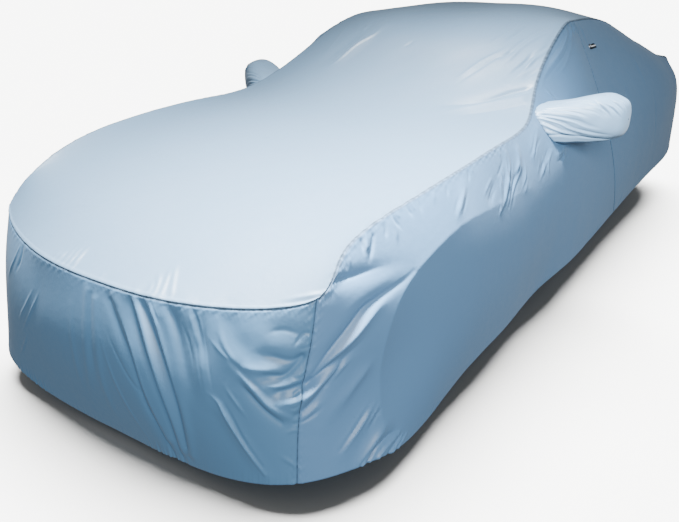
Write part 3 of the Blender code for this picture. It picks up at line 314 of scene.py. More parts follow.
FINE_TOP_FOLDS = (
    # half width, height, lean, strength at both ends, then station and across of each place
    # short creases over the front seam
    (6, 7, 1, 1, .1, 2, -.3, 2.14, -.3, 2.38, -.29),
    (6, 7.5, 1, 1, .1, 2, -.26, 2.2, -.26, 2.48, -.26),
    (6, 7, 1, 1, .1, 2, -.225, 2.25, -.23, 2.56, -.24),
    (6, 6.5, 1, 1, .1, 2, -.185, 2.3, -.2, 2.6, -.21),
    (6, 6, 1, 1, .1, 2, -.335, 2.14, -.33, 2.26, -.32),
    (6, 4.5, 1, 1, .1, 2, .27, 2.14, .265, 2.34, .24),
    (6, 5.5, 1, 1, .1, 2, .31, 2.26, .28, 2.52, .23),
    (6, 5, 1, 1, .1, 2, .345, 2.36, .3, 2.67, .27),
    (6, 4.5, 1, 1, .1, 2.04, .39, 2.46, .32, 2.72, .28),
    (6, 3, 1, 1, .1, 2, -.02, 2.1, -.01, 2.22, -.01),
    (9, -3, 1, .2, 1, 2.1, .82, 2.12, .9, 2.1, .98),
    # ticks across the side seam
    (9, -5, 1, .3, 1, 4.47, .9, 4.34, .95, 4.2, 1),
    (9, -5, 1, .3, 1, 4.25, .9, 4.12, .95, 4, 1),
    (9, -5, 1, .3, 1, 3.93, .92, 3.8, .96, 3.7, 1),
    (9, -5, 1, .3, 1, 3.63, .93, 3.52, .97, 3.43, 1),
    (7, 3.5, 1, .2, 1, 2.22, .84, 2.24, .92, 2.2, .99),
    # windscreen
    (9, -8, 1.3, 0, .9, 6.97, .43, 7.13, .56, 7.31, .69, 7.54, .8, 7.68, .89, 7.77, .97),
    (15, 6.5, 1, 0, .5, 6.84, .48, 7.12, .65, 7.32, .77, 7.48, .87, 7.63, .97),
    (8, -4, 1, 0, .5, 6.76, .58, 7.1, .77, 7.39, .94),
    (7, -5, 1, 0, .3, 7.47, .46, 7.71, .52, 7.96, .6, 8.15, .66, 8.35, .76, 8.68, .83),
    (8, 4.5, 1, 0, .2, 7.58, .44, 7.84, .51, 8.1, .59, 8.32, .68, 8.58, .76),
    (7, -5.5, 1, .2, .2, 7.81, .77, 8.19, .86, 8.43, .89),
    (7, 5, 1, .2, .2, 7.74, .81, 8.1, .89, 8.34, .93),
    (7, -5, 1, .1, .4, 8.5, .66, 8.7, .7, 8.9, .73),
    (7, 5, 1, .1, .6, 8.6, .8, 8.78, .84, 8.95, .9),
    (7, -4, 1, .8, .1, 8.88, .86, 8.58, .78, 8.25, .72, 8.09, .68),
    (7, 4, 1, .8, .1, 8.8, .9, 8.45, .8, 8.22, .76, 7.98, .7),
    (7, -4.5, 1, .8, .1, 8.55, .97, 8.3, .9, 8.17, .86, 7.9, .79),
    (7, 4.5, 1, .8, .1, 8.46, .98, 8.22, .91, 8.05, .87),
    (8, 3.5, 1, .6, .1, 8.95, .72, 8.7, .64, 8.43, .58),
    (7, -3.5, 1, .6, .1, 8.9, .66, 8.66, .6, 8.45, .55),
    (7, 4.5, 1, .8, .1, 8.18, .99, 8.04, .91, 7.88, .85),
    (7, -4, 1, .8, .1, 8.1, .99, 7.96, .92, 7.84, .87),
    (9, 5, 1.3, 0, .2, 7.55, -.53, 7.86, -.48, 8.16, -.45, 8.42, -.38, 8.67, -.38),
    (8, -4, 1, 0, .2, 7.6, -.58, 7.9, -.53, 8.2, -.5, 8.5, -.45),
    (10, 3.5, 1, 0, .1, 8.2, -.5, 8.71, -.56, 8.91, -.6),
    (9, -2.5, 1, 0, 0, 8.17, -.06, 8.28, -.03, 8.38, -.01),
    (9, 2.5, 1, 0, .2, 7.95, -.7, 8.3, -.72, 8.75, -.78),
)

# Mirror pocket: sections outwards from the panel, x, y, z of the centre and half sizes in y and z.
POCKET_SECTIONS = (
    # x    y     z     half y  half z
    (740, -420, 928, 152, 76),
    (840, -392, 930, 152, 90),
    (900, -355, 936, 148, 98),
    (960, -316, 944, 138, 104),
    (1015, -282, 948, 122, 102),
    (1055, -262, 946, 102, 88),
    (1082, -252, 944, 70, 64),
    (1091, -250, 943, 4, 4),
)
POCKET_POWER = 2.5  # roundness of a pocket section, 2 an ellipse
POCKET_MOUTH = 0.94  # hole in the side panel as a share of the pocket's section
# Creases of the left pocket: places are (out, turn), out 0 at the first section and 1 at the closed end,
# turn in degrees, 0 at the back, 90 on top, 180 in front and 270 below.
POCKET_FOLDS = (
    # half width, height, lean, strength at both ends, then out and turn of each place
    (50, 12, 1, 1, .2, .1, 205, .22, 208, .4, 212),
    # the fan from the front corner
    (5, -4, 1, .9, .1, .08, 156, .17, 166, .28, 177, .4, 190, .58, 207, .71, 218),
    (6, 3.5, 1, .9, .1, .08, 161, .17, 171, .29, 183, .42, 198, .57, 216),
    (5, -4, 1, .9, .1, .1, 170, .18, 179, .3, 190, .43, 208, .57, 224),
    (6, 3, 1, .9, .1, .1, 176, .19, 185, .31, 197, .42, 212),
    (5, -3, 1, .9, .1, .12, 182, .2, 191, .32, 204, .43, 216),
    (5, -4, 1, .9, .1, .07, 149, .18, 156, .31, 168, .45, 181, .57, 190),
    (6, 3.5, 1, .9, .1, .07, 153, .18, 161, .31, 173, .46, 187, .6, 197),
    (5, -3.5, 1, .9, .1, .09, 138, .2, 141, .34, 155, .47, 172),
    (6, 2.5, 1, .9, .1, .09, 143, .2, 147, .34, 161, .46, 177),
    (5, -2.5, 1, .5, .1, .09, 105, .18, 106, .34, 118, .48, 133),
    (5, 4, 1, .6, .6, .1, 160, .11, 181, .13, 210),
    (4, -3, 1, .9, .1, .08, 150, .18, 158, .31, 170, .45, 184, .58, 193),
    (4, -3, 1, .9, .1, .09, 165, .18, 174, .3, 186, .43, 202, .57, 219),
    (4, -3, 1, .9, .1, .11, 179, .2, 188, .32, 201, .43, 214),
    (4, -2.5, 1, .9, .1, .09, 130, .2, 132, .34, 144, .5, 160, .62, 176),
    (4, -2.5, 1, .2, .1, .3, 120, .42, 134, .55, 150, .66, 163),
    # the low seam and the flat band under it
    (4, -4.5, 1, .9, .4, .13, 195, .28, 197, .4, 208, .57, 226, .69, 240),
    (8, 4, 1, .9, .4, .12, 208, .25, 215, .38, 224, .55, 236, .7, 246),
    # short strokes round the closed end
    (5, 4, 1, .2, .2, .57, 135, .67, 143, .74, 152, .85, 167),
    (4, -4.5, 1, .2, .2, .56, 139, .66, 147, .73, 156, .83, 170),
    (5, 4, 1, .2, .2, .63, 120, .72, 127, .85, 140),
    (4, -4.5, 1, .2, .2, .62, 124, .71, 131, .83, 145),
    (5, 3.5, 1, .2, .2, .7, 106, .8, 110, .92, 118),
    (4, -4, 1, .2, .2, .69, 110, .79, 114, .9, 124),
    (5, 3, 1, .2, .2, .49, 128, .6, 149, .7, 168),
    (4, -3.5, 1, .2, .2, .48, 132, .58, 152, .68, 171),
    (5, -3, 1, .2, .2, .42, 116, .54, 144, .61, 165),
    (5, 3.5, 1, .2, .2, .66, 89, .8, 88, .93, 88),
    (10, -2, 1, .2, .2, .41, 146, .55, 160, .7, 177),
)

# Seams, hem and small wrinkles. Waves are their lengths and the seed of their directions.
HEM_ROLL = 0.006  # radius of the rolled hem
HEM_ROLL_STEPS = 9
HEM_TURN_UP = 0.022  # cloth turned up inside the hem
EDGE_STEPS = (0.0, 0.0012, 0.0026, 0.0045, 0.007, 0.0105, 0.0135, 0.0165, 0.02)  # close rows beside a seam
SEAM_DIP = 0.0036  # depth of the crease along a seam
SEAM_DIP_WIDTH = 0.0042
PUCKER_HEIGHT = 0.00242  # small wrinkles that a seam draws up
PUCKER_WIDTH = 0.024
PUCKER_START = 0.0045  # they begin this far from the seam, so that the two sheets meet evenly
PUCKER_WAVES = ((0.009, 0.013, 0.019, 0.027), 71)
PUCKER_PATCHES = ((0.31, 0.19, 0.47), 72)
GATHER_HEIGHT = 0.00288  # small wrinkles that the elastic in the hem draws up
GATHER_WIDTH = 0.035
GATHER_WAVES = (0.012, 0.019, 0.031)
GATHER_SWELL = (0.23, 0.4)
GATHER_PATCHES = (0.37, 0.61, 0.83)
GATHER_SEED = 47  # of the front panel; each further panel's is 10 higher
SEAM_HOLD = 0.3  # share of a fold's height that is left on a seam of the top panel
SEAM_HOLD_WIDTH = 0.05
FRONT_MARKS = 1.0  # a seam's stitches and dark line are drawn this many times narrower
SIDE_MARKS = 0.5
CORNER_MARKS = 2.6
DOOR_MARKS = 1.1
DOOR_SEAMS = (10.0, 24.0)  # stations of the seams in the doors
RIM_REACH = 0.016  # beside the top panel's seams both sheets are lifted in one direction
RIM_DROP = 0.012  # that direction is read off this far below the seam
RIM_POINTS = 1700
RIM_GRID = (701, 401)
WELT_HEIGHT = 0.0028  # flat welt sewn down along the front edge of the top panel
WELT_WIDTH = 0.0150
WELT_START = 0.001
WELT_FLANKS = (0.003, 0.0035)  # width of its rise and of its fall
WELT_UNEVEN = 0.35
WELT_WAVES = ((0.09, 0.16, 0.055), 61)
UNEVEN_HEIGHT = 0.0010  # slow unevenness of the cloth all over
UNEVEN_WAVES = ((0.34, 0.21, 0.27, 0.15, 0.42, 0.12), 5)
POCKET_UNEVEN_HEIGHT = 0.0012
POCKET_WAVES = ((0.09, 0.06, 0.13, 0.075), 21)
POCKET_SEARCH = (0.6, 49)  # furthest share of the way out at which it can leave the panel, and places tried
POCKET_CLOSING = 1.25  # above 1 a pocket's rows draw closer towards its closed end
POCKET_TIP = 0.06  # share of its rows there over which the relief fades out
POCKET_ROWS = 150
POCKET_COLUMNS = 250

TAB_LENGTH = 0.120
TAB_WIDTH = 0.028
TAB_THICKNESS = 0.0024
TAB_RIM = 0.0008  # thickness at its edges
TAB_GAP = 0.0006  # height of its underside over the cloth
TAB_TURN_DOWN = 0.003  # its edges reach back this far
TAB_START = (10.16, 0.128)  # station and drop of the tab's front end
TAB_ENDS = 30  # power that squares off its ends, and the one for its edges
TAB_EDGES = 6
TAB_GRID = (41, 9)

# Finishes. The cloth is one material; its colours differ between the panels as painted shade: the front
# panel darker, the sides and rear bluer, the top and pockets greyer. Marks are measured from the seam, in
# metres.
FINISHES_WITH_PAINTED_SHADE = (
    # slot, light and dark colour, roughness
    ("top_cloth", (0.100, 0.172, 0.255), (0.090, 0.160, 0.243), 0.42),
    ("front_cloth", (0.066, 0.153, 0.262), (0.058, 0.141, 0.246), 0.40),
    ("side_cloth", (0.081, 0.172, 0.298), (0.072, 0.158, 0.280), 0.40),
    ("rear_cloth", (0.081, 0.172, 0.298), (0.072, 0.158, 0.280), 0.40),
    ("pocket_cloth", (0.100, 0.172, 0.255), (0.090, 0.160, 0.243), 0.42),
)
STITCH_LINE = (0.0042, 0.0011)  # middle and half width of the stitched line
STITCH_PITCH = 0.0046
STITCH_STRENGTH = 0.35  # how far the stitches and the seam's line go towards the shade colour
SEAM_STRENGTH = 0.85
SEAM_SPOTS = 48.0  # scale of the unevenness of the dark line
STITCH_SHARE = 0.62  # of the pitch that is thread
# painted shade: the dark line along each seam stands for the shade in the seam's crease
SEAM_SHADE = (0.02, 0.035, 0.055)
SEAM_SHADE_WIDTH = 0.0062  # dark line along a seam
WEAVE_SCALE = 420.0
TAB_DARK = (0.004, 0.005, 0.007)
TAB_PALE = (0.80, 0.82, 0.84)
TAB_STRIPE = 0.0038  # half width of the tab's woven stripe
TAB_RIBS = 0.0022

# Camera of the view: place, turn and tilt in degrees, and focal length in millimetres.
CAMERA_PLACE = (1.927, -4.142, 0.289)
CAMERA_AZIMUTH = 34.931
CAMERA_ELEVATION = 22.524
CAMERA_ROLL = -0.161
CAMERA_LENS = 39.68
CAMERA_SENSOR = 36.0
GROUND = -HOLD_POINT[2]
WORLD_COLOUR = (0.82, 0.92, 1.0)
WORLD_STRENGTH = 0.42
FLOOR_COLOUR = (0.54, 0.48, 0.425)
FLOOR_REACH = 60.0
FLOOR_LIGHT = 62.0
FLOOR_LIGHT_COLOUR = (0.80, 0.90, 1.0)
FLOOR_LIGHT_SPREAD = 50  # degrees, as are its turns about x, y and z
FLOOR_LIGHT_TURN = (-20, -7, 0)
COVER_LIGHTS = (
    # name, place, aim, size, spread in degrees, power, starts of the names of the pieces it shines on
    ("overhead", (-0.6, -1.8, 6.5), (1.35, -2.60, -0.6), (1.4, 1.4), 43, 645,
     ("top", "front", "rear", "mirror", "side_front_right", "side_rear_right")),
    ("overhead_side", (-0.6, -1.8, 6.5), (1.05, -2.75, -0.6), (1.0, 1.0), 34, 605,
     ("side_front_left", "side_rear_left")),
    ("front_fill", (3.2, -4.8, 1.6), (0.7, -1.6, -0.7), (2.5, 2.0), 110, 132, ("",)),
    ("pocket_fill", (2.4, -2.6, 1.8), (1.0, -0.3, -0.4), (1.0, 1.0), 90, 225, ("mirror",)),
    ("door_fill", (4.2, -1.8, 1.2), (0.95, -0.60, -0.8), (1.5, 1.5), 40, 5,
     ("side_front_left", "side_rear_left")),
)

SKIRT_SHEETS = (
    # node, first station, last station, rows, columns, slot, flat width, flat length, flat area
    ("front_panel", -2.0, 2.0, 520, 130, "front_cloth", 2.5, 0.75, 0.99),
    ("side_front_left", 2.0, 10.0, 520, 165, "side_cloth", 3.0, 1.35, 2.1),
    ("side_rear_left", 10.0, 15.0, 230, 130, "side_cloth", 2.2, 1.3, 1.9),
    ("rear_panel", 15.0, 19.0, 170, 66, "rear_cloth", 1.6, 0.65, 0.81),
    ("side_rear_right", 19.0, 24.0, 170, 90, "side_cloth", 2.2, 1.3, 1.9),
    ("side_front_right", 24.0, 32.0, 260, 104, "side_cloth", 3.0, 1.35, 2.1),
)
TOP_LENGTH = 4.6  # along and across the top panel, for the close rows beside its seams
TOP_WIDTH = 1.5
TOP_ROWS = 400
TOP_SPACING = (  # share of the top panel's length, relative distance of its rows
    (0.00, 0.6), (0.04, 0.6), (0.10, 1.1), (0.28, 1.4), (0.32, 0.75), (0.51, 0.75), (0.56, 2.2), (0.93, 2.2),
    (0.97, 1.0), (1.00, 0.7),
)
TOP_COLUMNS = 205


# ---------------------------------------------------------------- smooth curves and the cover's surface
def spline_weights(knots, at, closed=False):
    """Weights that give a cubic spline through values at the knots, read off at the places 'at'."""
    step = np.diff(knots)
    count = len(step) if closed else len(knots)
    left = np.zeros((count, count))
    right = np.zeros((count, count))
    inner = range(count) if closed else range(1, count - 1)
    if not closed:
        left[0, 0] = left[-1, -1] = 1
    for i in inner:
        before = step[i - 1]
        after = step[i]
        following = (i + 1) % count
        left[i, i - 1] += before
        left[i, i] += 2 * (before + after)
        left[i, following] += after
        right[i, i - 1] += 6 / before
        right[i, i] -= 6 / before + 6 / after
        right[i, following] += 6 / after
    bend = np.linalg.solve(left, right)
    at = np.asarray(at, float)
    i = np.clip(np.searchsorted(knots, at, side="right") - 1, 0, len(step) - 1)
    j = (i + 1) % count
    a = (np.asarray(knots)[i + 1] - at) / step[i]
    rows = np.arange(len(at))
    weights = np.zeros((len(at), count))
    for share, knot in ((a, i), (1 - a, j)):
        np.add.at(weights, (rows, knot), share)
        weights += ((share ** 3 - share) * step[i] ** 2 / 6)[:, None] * bend[knot]
    return weights


def run_lengths(points):
    """Distance along a row of points, from 0."""
    return np.concatenate([[0], np.cumsum(np.linalg.norm(np.diff(points, axis=0), axis=1))])


HALF = np.array([row[1:] for row in STATIONS]) * MM
LOOP = np.concatenate([HALF, HALF[-2:0:-1] * (-1, 1, 1)])
WAIST_KNOTS = run_lengths(np.concatenate([LOOP[:, 2], LOOP[:1, 2]]))


def sections(station):
    """Seam, shoulder, waist and hem points at the given stations of the closed skirt."""
    place = np.mod(np.asarray(station, float), ROUND)
    at = np.interp(place, np.arange(len(WAIST_KNOTS)), WAIST_KNOTS)
    return np.einsum("ai,ijk->ajk", spline_weights(WAIST_KNOTS, at, closed=True), LOOP)


def skirt_points(station, drop):
    """Points at pairs of station and drop; drop holds one row of drops for each station."""
    found = []
    for section, row in zip(sections(station), drop):
        knots = run_lengths(section)
        found.append(spline_weights(knots, np.asarray(row) * knots[-1]) @ section)
    return np.array(found)


def seam_line(station):
    return sections(station)[:, 0]


# Close stations from corner to corner, and each one's share of the length of the seam.
FINE = np.linspace(FRONT_CORNER, REAR_CORNER, 1041)
FINE_SHARE = run_lengths(seam_line(FINE))
FINE_SHARE = FINE_SHARE / FINE_SHARE[-1]


def end_seam(centre, corner, across):
    """The top panel's front or rear edge at across-values."""
    fine = np.linspace(centre, corner, 161)
    share = run_lengths(seam_line(fine))
    points = seam_line(np.interp(np.abs(across), share / share[-1], fine))
    points[:, 0] *= np.sign(across)
    return points


def blend_ends(along, front, rear):
    return (1 - along) * front + along * rear


def top_grid(station, across):
    """Top panel: stretched between the four seams, then lifted to the crown line."""
    across = np.asarray(across, float)
    along = np.interp(station, FINE, FINE_SHARE)[:, None, None]
    side = ((across + 1) / 2)[None, :, None]
    left = seam_line(station)
    right = left * (-1, 1, 1)
    front = end_seam(0, FRONT_CORNER, across)
    rear = end_seam(TAIL, REAR_CORNER, across)
    front_left, rear_left = seam_line([FRONT_CORNER, REAR_CORNER])
    corners = blend_ends(along, blend_ends(side, front_left * (-1, 1, 1), front_left),
                         blend_ends(side, rear_left * (-1, 1, 1), rear_left))
    grid = blend_ends(side, right[:, None], left[:, None]) + blend_ends(along, front, rear) - corners
    nose, tail = seam_line([0, TAIL])
    crown_knots = np.interp(np.arange(FRONT_CORNER, REAR_CORNER + 1), FINE, FINE_SHARE)
    crown = np.concatenate([[nose[1:]], np.array(CROWN) * MM, [tail[1:]]])
    run = along[:, :, 0]
    line = spline_weights(crown_knots, run.ravel()) @ crown
    level = (left + right) / 2 + blend_ends(run, nose, tail)
    level = level - blend_ends(run, front_left * (0, 1, 1), rear_left * (0, 1, 1))
    lift = (line - level[:, 1:])[:, None, :]
    grid[:, :, 1:] += lift * (1 - np.abs(across) ** CROWN_FALL)[None, :, None]
    return grid


# ---------------------------------------------------------------- folds
def ease(x):
    x = np.clip(x, 0, 1)
    return x * x * (3 - 2 * x)


def path_between(path, steps):
    """A smooth run of places through a fold's own places."""
    knots = np.arange(len(path), dtype=float)
    return spline_weights(knots, np.linspace(0, len(path) - 1, steps)) @ path


def skirt_run(path, steps, right=False):
    run = path_between(path, steps)
    if right:
        run[:, 0] = ROUND - run[:, 0] - RIGHT_SHIFT
    return skirt_points(run[:, 0], run[:, 1:])[:, 0]


def top_run(path, steps):
    return np.array([top_grid([a], [v])[0, 0] for a, v in path_between(path, steps)])


def fold_rows(table, fine):
    """A table's rows as (half width, height, form, lean, ends, path); the fine folds are all soft ones."""
    for width, height, bend, first, last, *places in table:
        form, lean = (2, bend) if fine else (bend, 1.0)
        yield width, height, form, lean, (first, last), np.reshape(np.array(places, float), (-1, 2))


def all_folds():
    """Each fold as (points, half width, height, form, lean, ends)."""
    folds = []
    for table, fine, steps in ((SKIRT_FOLDS, False, MAIN_STEPS), (FINE_SKIRT_FOLDS, True, FINE_STEPS)):
        for width, height, form, lean, ends, path in fold_rows(table, fine):
            folds.append((skirt_run(path, steps), width, height, form, lean, ends))
            if path[0, 0] > RIGHT_FROM and path[-1, 0] > RIGHT_FROM - RIGHT_SHIFT:
                run = skirt_run(path, steps, right=True)
                folds.append((run, width, height * RIGHT_SHARE, form, 1 / lean, ends))
    for table, fine in ((TOP_FOLDS, False), (FINE_TOP_FOLDS, True)):
        for width, height, form, lean, ends, path in fold_rows(table, fine):
            folds.append((top_run(path, TOP_STEPS), width, height, form, lean, ends))
    return folds


def fold_height(points, outward, folds):
    """How far the folds lift the cloth at each point."""
    total = np.zeros(len(points))
    for run, half_width, height, form, lean, ends in folds:
        reach = half_width * MM
        margin = 4 * reach * max(lean, 1 / lean)
        near = np.all(points > run.min(0) - margin, axis=1)
        near &= np.all(points < run.max(0) + margin, axis=1)
        if not near.any():
            continue
        here = points[near][:, None]
        start = run[:-1]
        step = run[1:] - start
        share = np.clip(((here - start) * step).sum(2) / (step * step).sum(1), 0, 1)
        offset = here - start - share[:, :, None] * step
        gap = np.linalg.norm(offset, axis=2)
        closest = gap.argmin(1)
        rows = np.arange(len(closest))
        place = (closest + share[rows, closest]) / len(step)
        strength = 1 - (1 - ends[0]) * (1 - ease(place / FADE))
        strength -= (1 - ends[1]) * (1 - ease((1 - place) / FADE))
        left = (np.cross(step[closest], offset[rows, closest]) * outward[near]).sum(1) > 0
        width = reach * np.where(left, lean, 1 / lean)
        total[near] += height * MM * strength * np.exp(-(gap[rows, closest] / width) ** form)
    return total


def waves(places, lengths, seed):
    """Even, irregular noise from -1 to 1: waves of the given lengths in seeded directions."""
    places = np.asarray(places, float)
    if places.ndim == 1:
        places = places[:, None]
    rng = np.random.default_rng(seed)
    total = np.zeros(len(places))
    for length in lengths:
        way = rng.normal(size=places.shape[1])
        way /= np.linalg.norm(way)
        total += np.sin(places @ way * 2 * np.pi / length + rng.uniform(0, 2 * np.pi))
    return total / len(lengths)


# ---------------------------------------------------------------- grids
def unit(vectors):
    return vectors / np.maximum(np.linalg.norm(vectors, axis=-1, keepdims=True), 1e-12)


def facing(grid):
    """Outward directions of a grid whose rows run nose to tail and columns run seam to hem."""
    return -unit(np.cross(np.gradient(grid, axis=0), np.gradient(grid, axis=1)))


def graded(count, length, first=True, last=True, spacing=((0, 1), (1, 1))):
    """Shares from 0 to 1 with close rows beside the seams; spacing is (share, relative distance of rows)."""
    close = np.array(EDGE_STEPS) / length
    start = close[-1] if first else 0.0
    end = 1 - (close[-1] if last else 0.0)
    fine = np.linspace(0, 1, 801)
    pace = 1 / np.interp(fine, *np.array(spacing, float).T)
    passed = np.concatenate([[0], np.cumsum(pace[1:] + pace[:-1])])
    middle = start + (end - start) * np.interp(np.linspace(0, passed[-1], count), passed, fine)
    return np.concatenate([close[:-1] if first else [], middle, 1 - close[-2::-1] if last else []])


def lengths_along(grid, axis):
    """Distance of a grid's points from its first row (axis 0) or first column (axis 1)."""
    steps = np.linalg.norm(np.diff(grid, axis=axis), axis=2)
    return np.insert(np.cumsum(steps, axis=axis), 0, 0, axis=axis)


def seam_above(grid):
    """Distance down from the seam under the top panel."""
    return lengths_along(grid, 1)


def seams_round(grid):
    return edge_distances(grid, 1, 1, 1, 1)[0]


def edge_distances(grid, *edges):
    """Distance to the nearest seam, the length along it, and the distance that its marks are drawn at.

    The edges are the first and last row and the first and last column: 0 for one that isn't a seam, and
    otherwise the times narrower that its marks are drawn.
    """
    down = lengths_along(grid, 0)
    over = lengths_along(grid, 1)
    far = np.full(grid.shape[:2], 9.0)
    from_edges = (down, down[-1] - down, over, over[:, -1:] - over)
    gaps = [gap if edge else far for edge, gap in zip(edges, from_edges)]
    nearest = np.argmin(gaps, axis=0)
    gap = np.min(gaps, axis=0)
    return gap, np.where(nearest < 2, over, down), gap * np.array(edges, float)[nearest]


def grid_faces(rows, columns):
    """Quads of a grid, numbered row by row."""
    start = (np.arange(rows - 1)[:, None] * columns + np.arange(columns - 1)[None]).ravel()
    return np.stack([start, start + columns, start + columns + 1, start + 1], axis=1)


def add_object(name, data):
    made = bpy.data.objects.new(name, data)
    bpy.context.scene.collection.objects.link(made)
    return made


def new_piece(name, grid, faces, finish, along, gap):
    """A mesh on a grid of points, with the places beside its seams as texture coordinates."""
    mesh = bpy.data.meshes.new(name)
    mesh.from_pydata((grid.reshape(-1, 3) - HOLD_POINT).tolist(), [], faces.tolist())
    mesh.materials.append(finish)
    mesh.shade_smooth()
    layer = mesh.uv_layers.new(name="seams")
    corners = np.empty(len(mesh.loops), dtype=np.int32)
    mesh.loops.foreach_get("vertex_index", corners)
    seam_uv = np.stack([along.ravel(), gap.ravel()], axis=1)
    layer.data.foreach_set("uv", seam_uv[corners].astype(np.float32).ravel())
    mesh.update()
    return add_object(name, mesh)


# ---------------------------------------------------------------- sheets
def seam_relief(gap, grid):
    """Crease along a seam, with the small wrinkles that the stitching draws up."""
    crease = -SEAM_DIP * np.exp(-(gap / SEAM_DIP_WIDTH) ** 2)
    flat = grid.reshape(-1, 3)
    wrinkle = waves(flat, *PUCKER_WAVES) * (0.5 + 0.5 * waves(flat, *PUCKER_PATCHES))
    wrinkle = wrinkle.reshape(gap.shape) * (1 - np.exp(-(gap / PUCKER_START) ** 2))
    return crease + PUCKER_HEIGHT * wrinkle * np.exp(-(gap / PUCKER_WIDTH) ** 2)


def front_welt(grid):
    """Height of the welt along the front edge of the top panel, uneven as sewn by hand."""
    down = lengths_along(grid, 0)
    uneven = 1 + WELT_UNEVEN * waves(run_lengths(grid[0]), *WELT_WAVES)
    rise = ease((down - WELT_START) / WELT_FLANKS[0]) * (1 - ease((down - WELT_WIDTH) / WELT_FLANKS[1]))
    return WELT_HEIGHT * uneven[None] * rise


def tree_of(points):
    tree = KDTree(len(points))
    for i, point in enumerate(points):
        tree.insert(point, i)
    tree.balance()
    return tree


def rim_of_top():
    """Places round the top panel's seams, with the direction in which both sheets are lifted there."""
    stations = np.linspace(0, ROUND, RIM_POINTS, endpoint=False)
    pairs = skirt_points(stations, np.tile([0, RIM_DROP], (RIM_POINTS, 1)))
    along = np.roll(pairs[:, 0], -1, axis=0) - np.roll(pairs[:, 0], 1, axis=0)
    skirt = -unit(np.cross(along, pairs[:, 1] - pairs[:, 0]))
    run = np.interp(np.linspace(0, 1, RIM_GRID[0]), FINE_SHARE, FINE)
    grid = top_grid(run, np.linspace(-1, 1, RIM_GRID[1]))
    rim, outward = (np.concatenate([of[0], of[-1], of[:, 0], of[:, -1]]) for of in (grid, facing(grid)))
    beside = tree_of(rim)
    top = np.array([outward[beside.find(point)[1]] for point in pairs[:, 0]])
    return tree_of(pairs[:, 0]), unit(skirt + top)


def turn_to_rim(grid, outward, gap, rim):
    """Near the top panel's seams, turn the lifting directions to the ones that both sheets share there."""
    tree, shared = rim
    turned = outward.copy()
    for row, column in zip(*np.nonzero(gap < RIM_REACH)):
        own = ease(gap[row, column] / RIM_REACH)
        found = shared[tree.find(grid[row, column])[1]]
        turned[row, column] = unit(own * outward[row, column] + (1 - own) * found)
    return turned


def dress(grid, folds, seams, rim, from_rim, extra):
    """Lift a grid by its folds, unevenness and seams; gives the grid and its places beside the seams."""
    outward = facing(grid)
    flat = grid.reshape(-1, 3)
    height = fold_height(flat, outward.reshape(-1, 3), folds).reshape(grid.shape[:2])
    gap, along, marks = edge_distances(grid, *seams)
    outward = turn_to_rim(grid, outward, from_rim, rim)
    height *= SEAM_HOLD + (1 - SEAM_HOLD) * ease(from_rim / SEAM_HOLD_WIDTH)
    height += UNEVEN_HEIGHT * waves(flat, *UNEVEN_WAVES).reshape(grid.shape[:2])
    height += seam_relief(gap, grid)
    height += extra
    return grid + height[:, :, None] * outward, along, marks


def hem_gathers(hem_run, hem_gap, seed):
    """Small wrinkles in patches along the hem."""
    gather = waves(hem_run, GATHER_WAVES, seed) * (0.6 + 0.4 * waves(hem_run, GATHER_SWELL, seed + 1))
    patch = 0.25 + 0.75 * np.clip(waves(hem_run, GATHER_PATCHES, seed + 2) * 2, 0, 1)
    return GATHER_HEIGHT * (gather * patch)[:, None] * np.exp(-(hem_gap / GATHER_WIDTH) ** 2)


def rolled_hem(grid):
    """The columns that carry a skirt sheet round its rolled hem and up inside."""
    edge = grid[:, -1]
    down = unit(edge - grid[:, -2])
    out = facing(grid)[:, -1]
    rolled = []
    for turn in np.linspace(0, math.pi, HEM_ROLL_STEPS)[1:]:
        rolled.append(edge + HEM_ROLL * ((math.cos(turn) - 1) * out + math.sin(turn) * down))
    rolled.append(rolled[-1] - HEM_TURN_UP * down)
    return np.stack(rolled, axis=1)


def skirt_sheet(name, first, last, rows, columns, folds, rim, seed, finish):
    """One panel of the skirt, with its rolled hem."""
    span = run_lengths(sections(np.linspace(first, last, 60))[:, 2])[-1]
    stations = first + (last - first) * graded(rows, span)
    height = np.array([run_lengths(section)[-1] for section in sections(stations)])
    share = graded(columns, height.mean(), last=False)
    grid = skirt_points(stations, share[None] * (1 - HEM_ROLL / height)[:, None])
    gathers = hem_gathers(run_lengths(grid[:, -1]), (1 - share)[None] * height[:, None], seed)
    top_seam = FRONT_MARKS if name.startswith(("front", "rear")) else SIDE_MARKS
    upright = [DOOR_MARKS if end in DOOR_SEAMS else CORNER_MARKS for end in (first, last)]
    grid, along, gap = dress(grid, folds, (*upright, top_seam, 0), rim, seam_above(grid), gathers)
    hem = rolled_hem(grid)
    along, gap = (np.pad(values, ((0, 0), (0, hem.shape[1])), mode="edge") for values in (along, gap))
    grid = np.concatenate([grid, hem], axis=1)
    return new_piece(name, grid, grid_faces(*grid.shape[:2])[:, ::-1], finish, along, gap)


def top_sheet(name, folds, rim, finish):
    stations = np.interp(graded(TOP_ROWS, TOP_LENGTH, spacing=TOP_SPACING), FINE_SHARE, FINE)
    grid = top_grid(stations, 2 * graded(TOP_COLUMNS, TOP_WIDTH) - 1)
    seams = (FRONT_MARKS, FRONT_MARKS, SIDE_MARKS, SIDE_MARKS)
    grid, along, gap = dress(grid, folds, seams, rim, seams_round(grid), front_welt(grid))
    return new_piece(name, grid, grid_faces(*grid.shape[:2])[:, ::-1], finish, along, gap)


# ---------------------------------------------------------------- mirror pockets
def pocket_sections(out):
    """Pocket sections at shares of the way out."""
    table = np.array(POCKET_SECTIONS, float)
    knots = np.arange(len(table), dtype=float)
    return spline_weights(knots, np.asarray(out) * knots[-1]) @ table


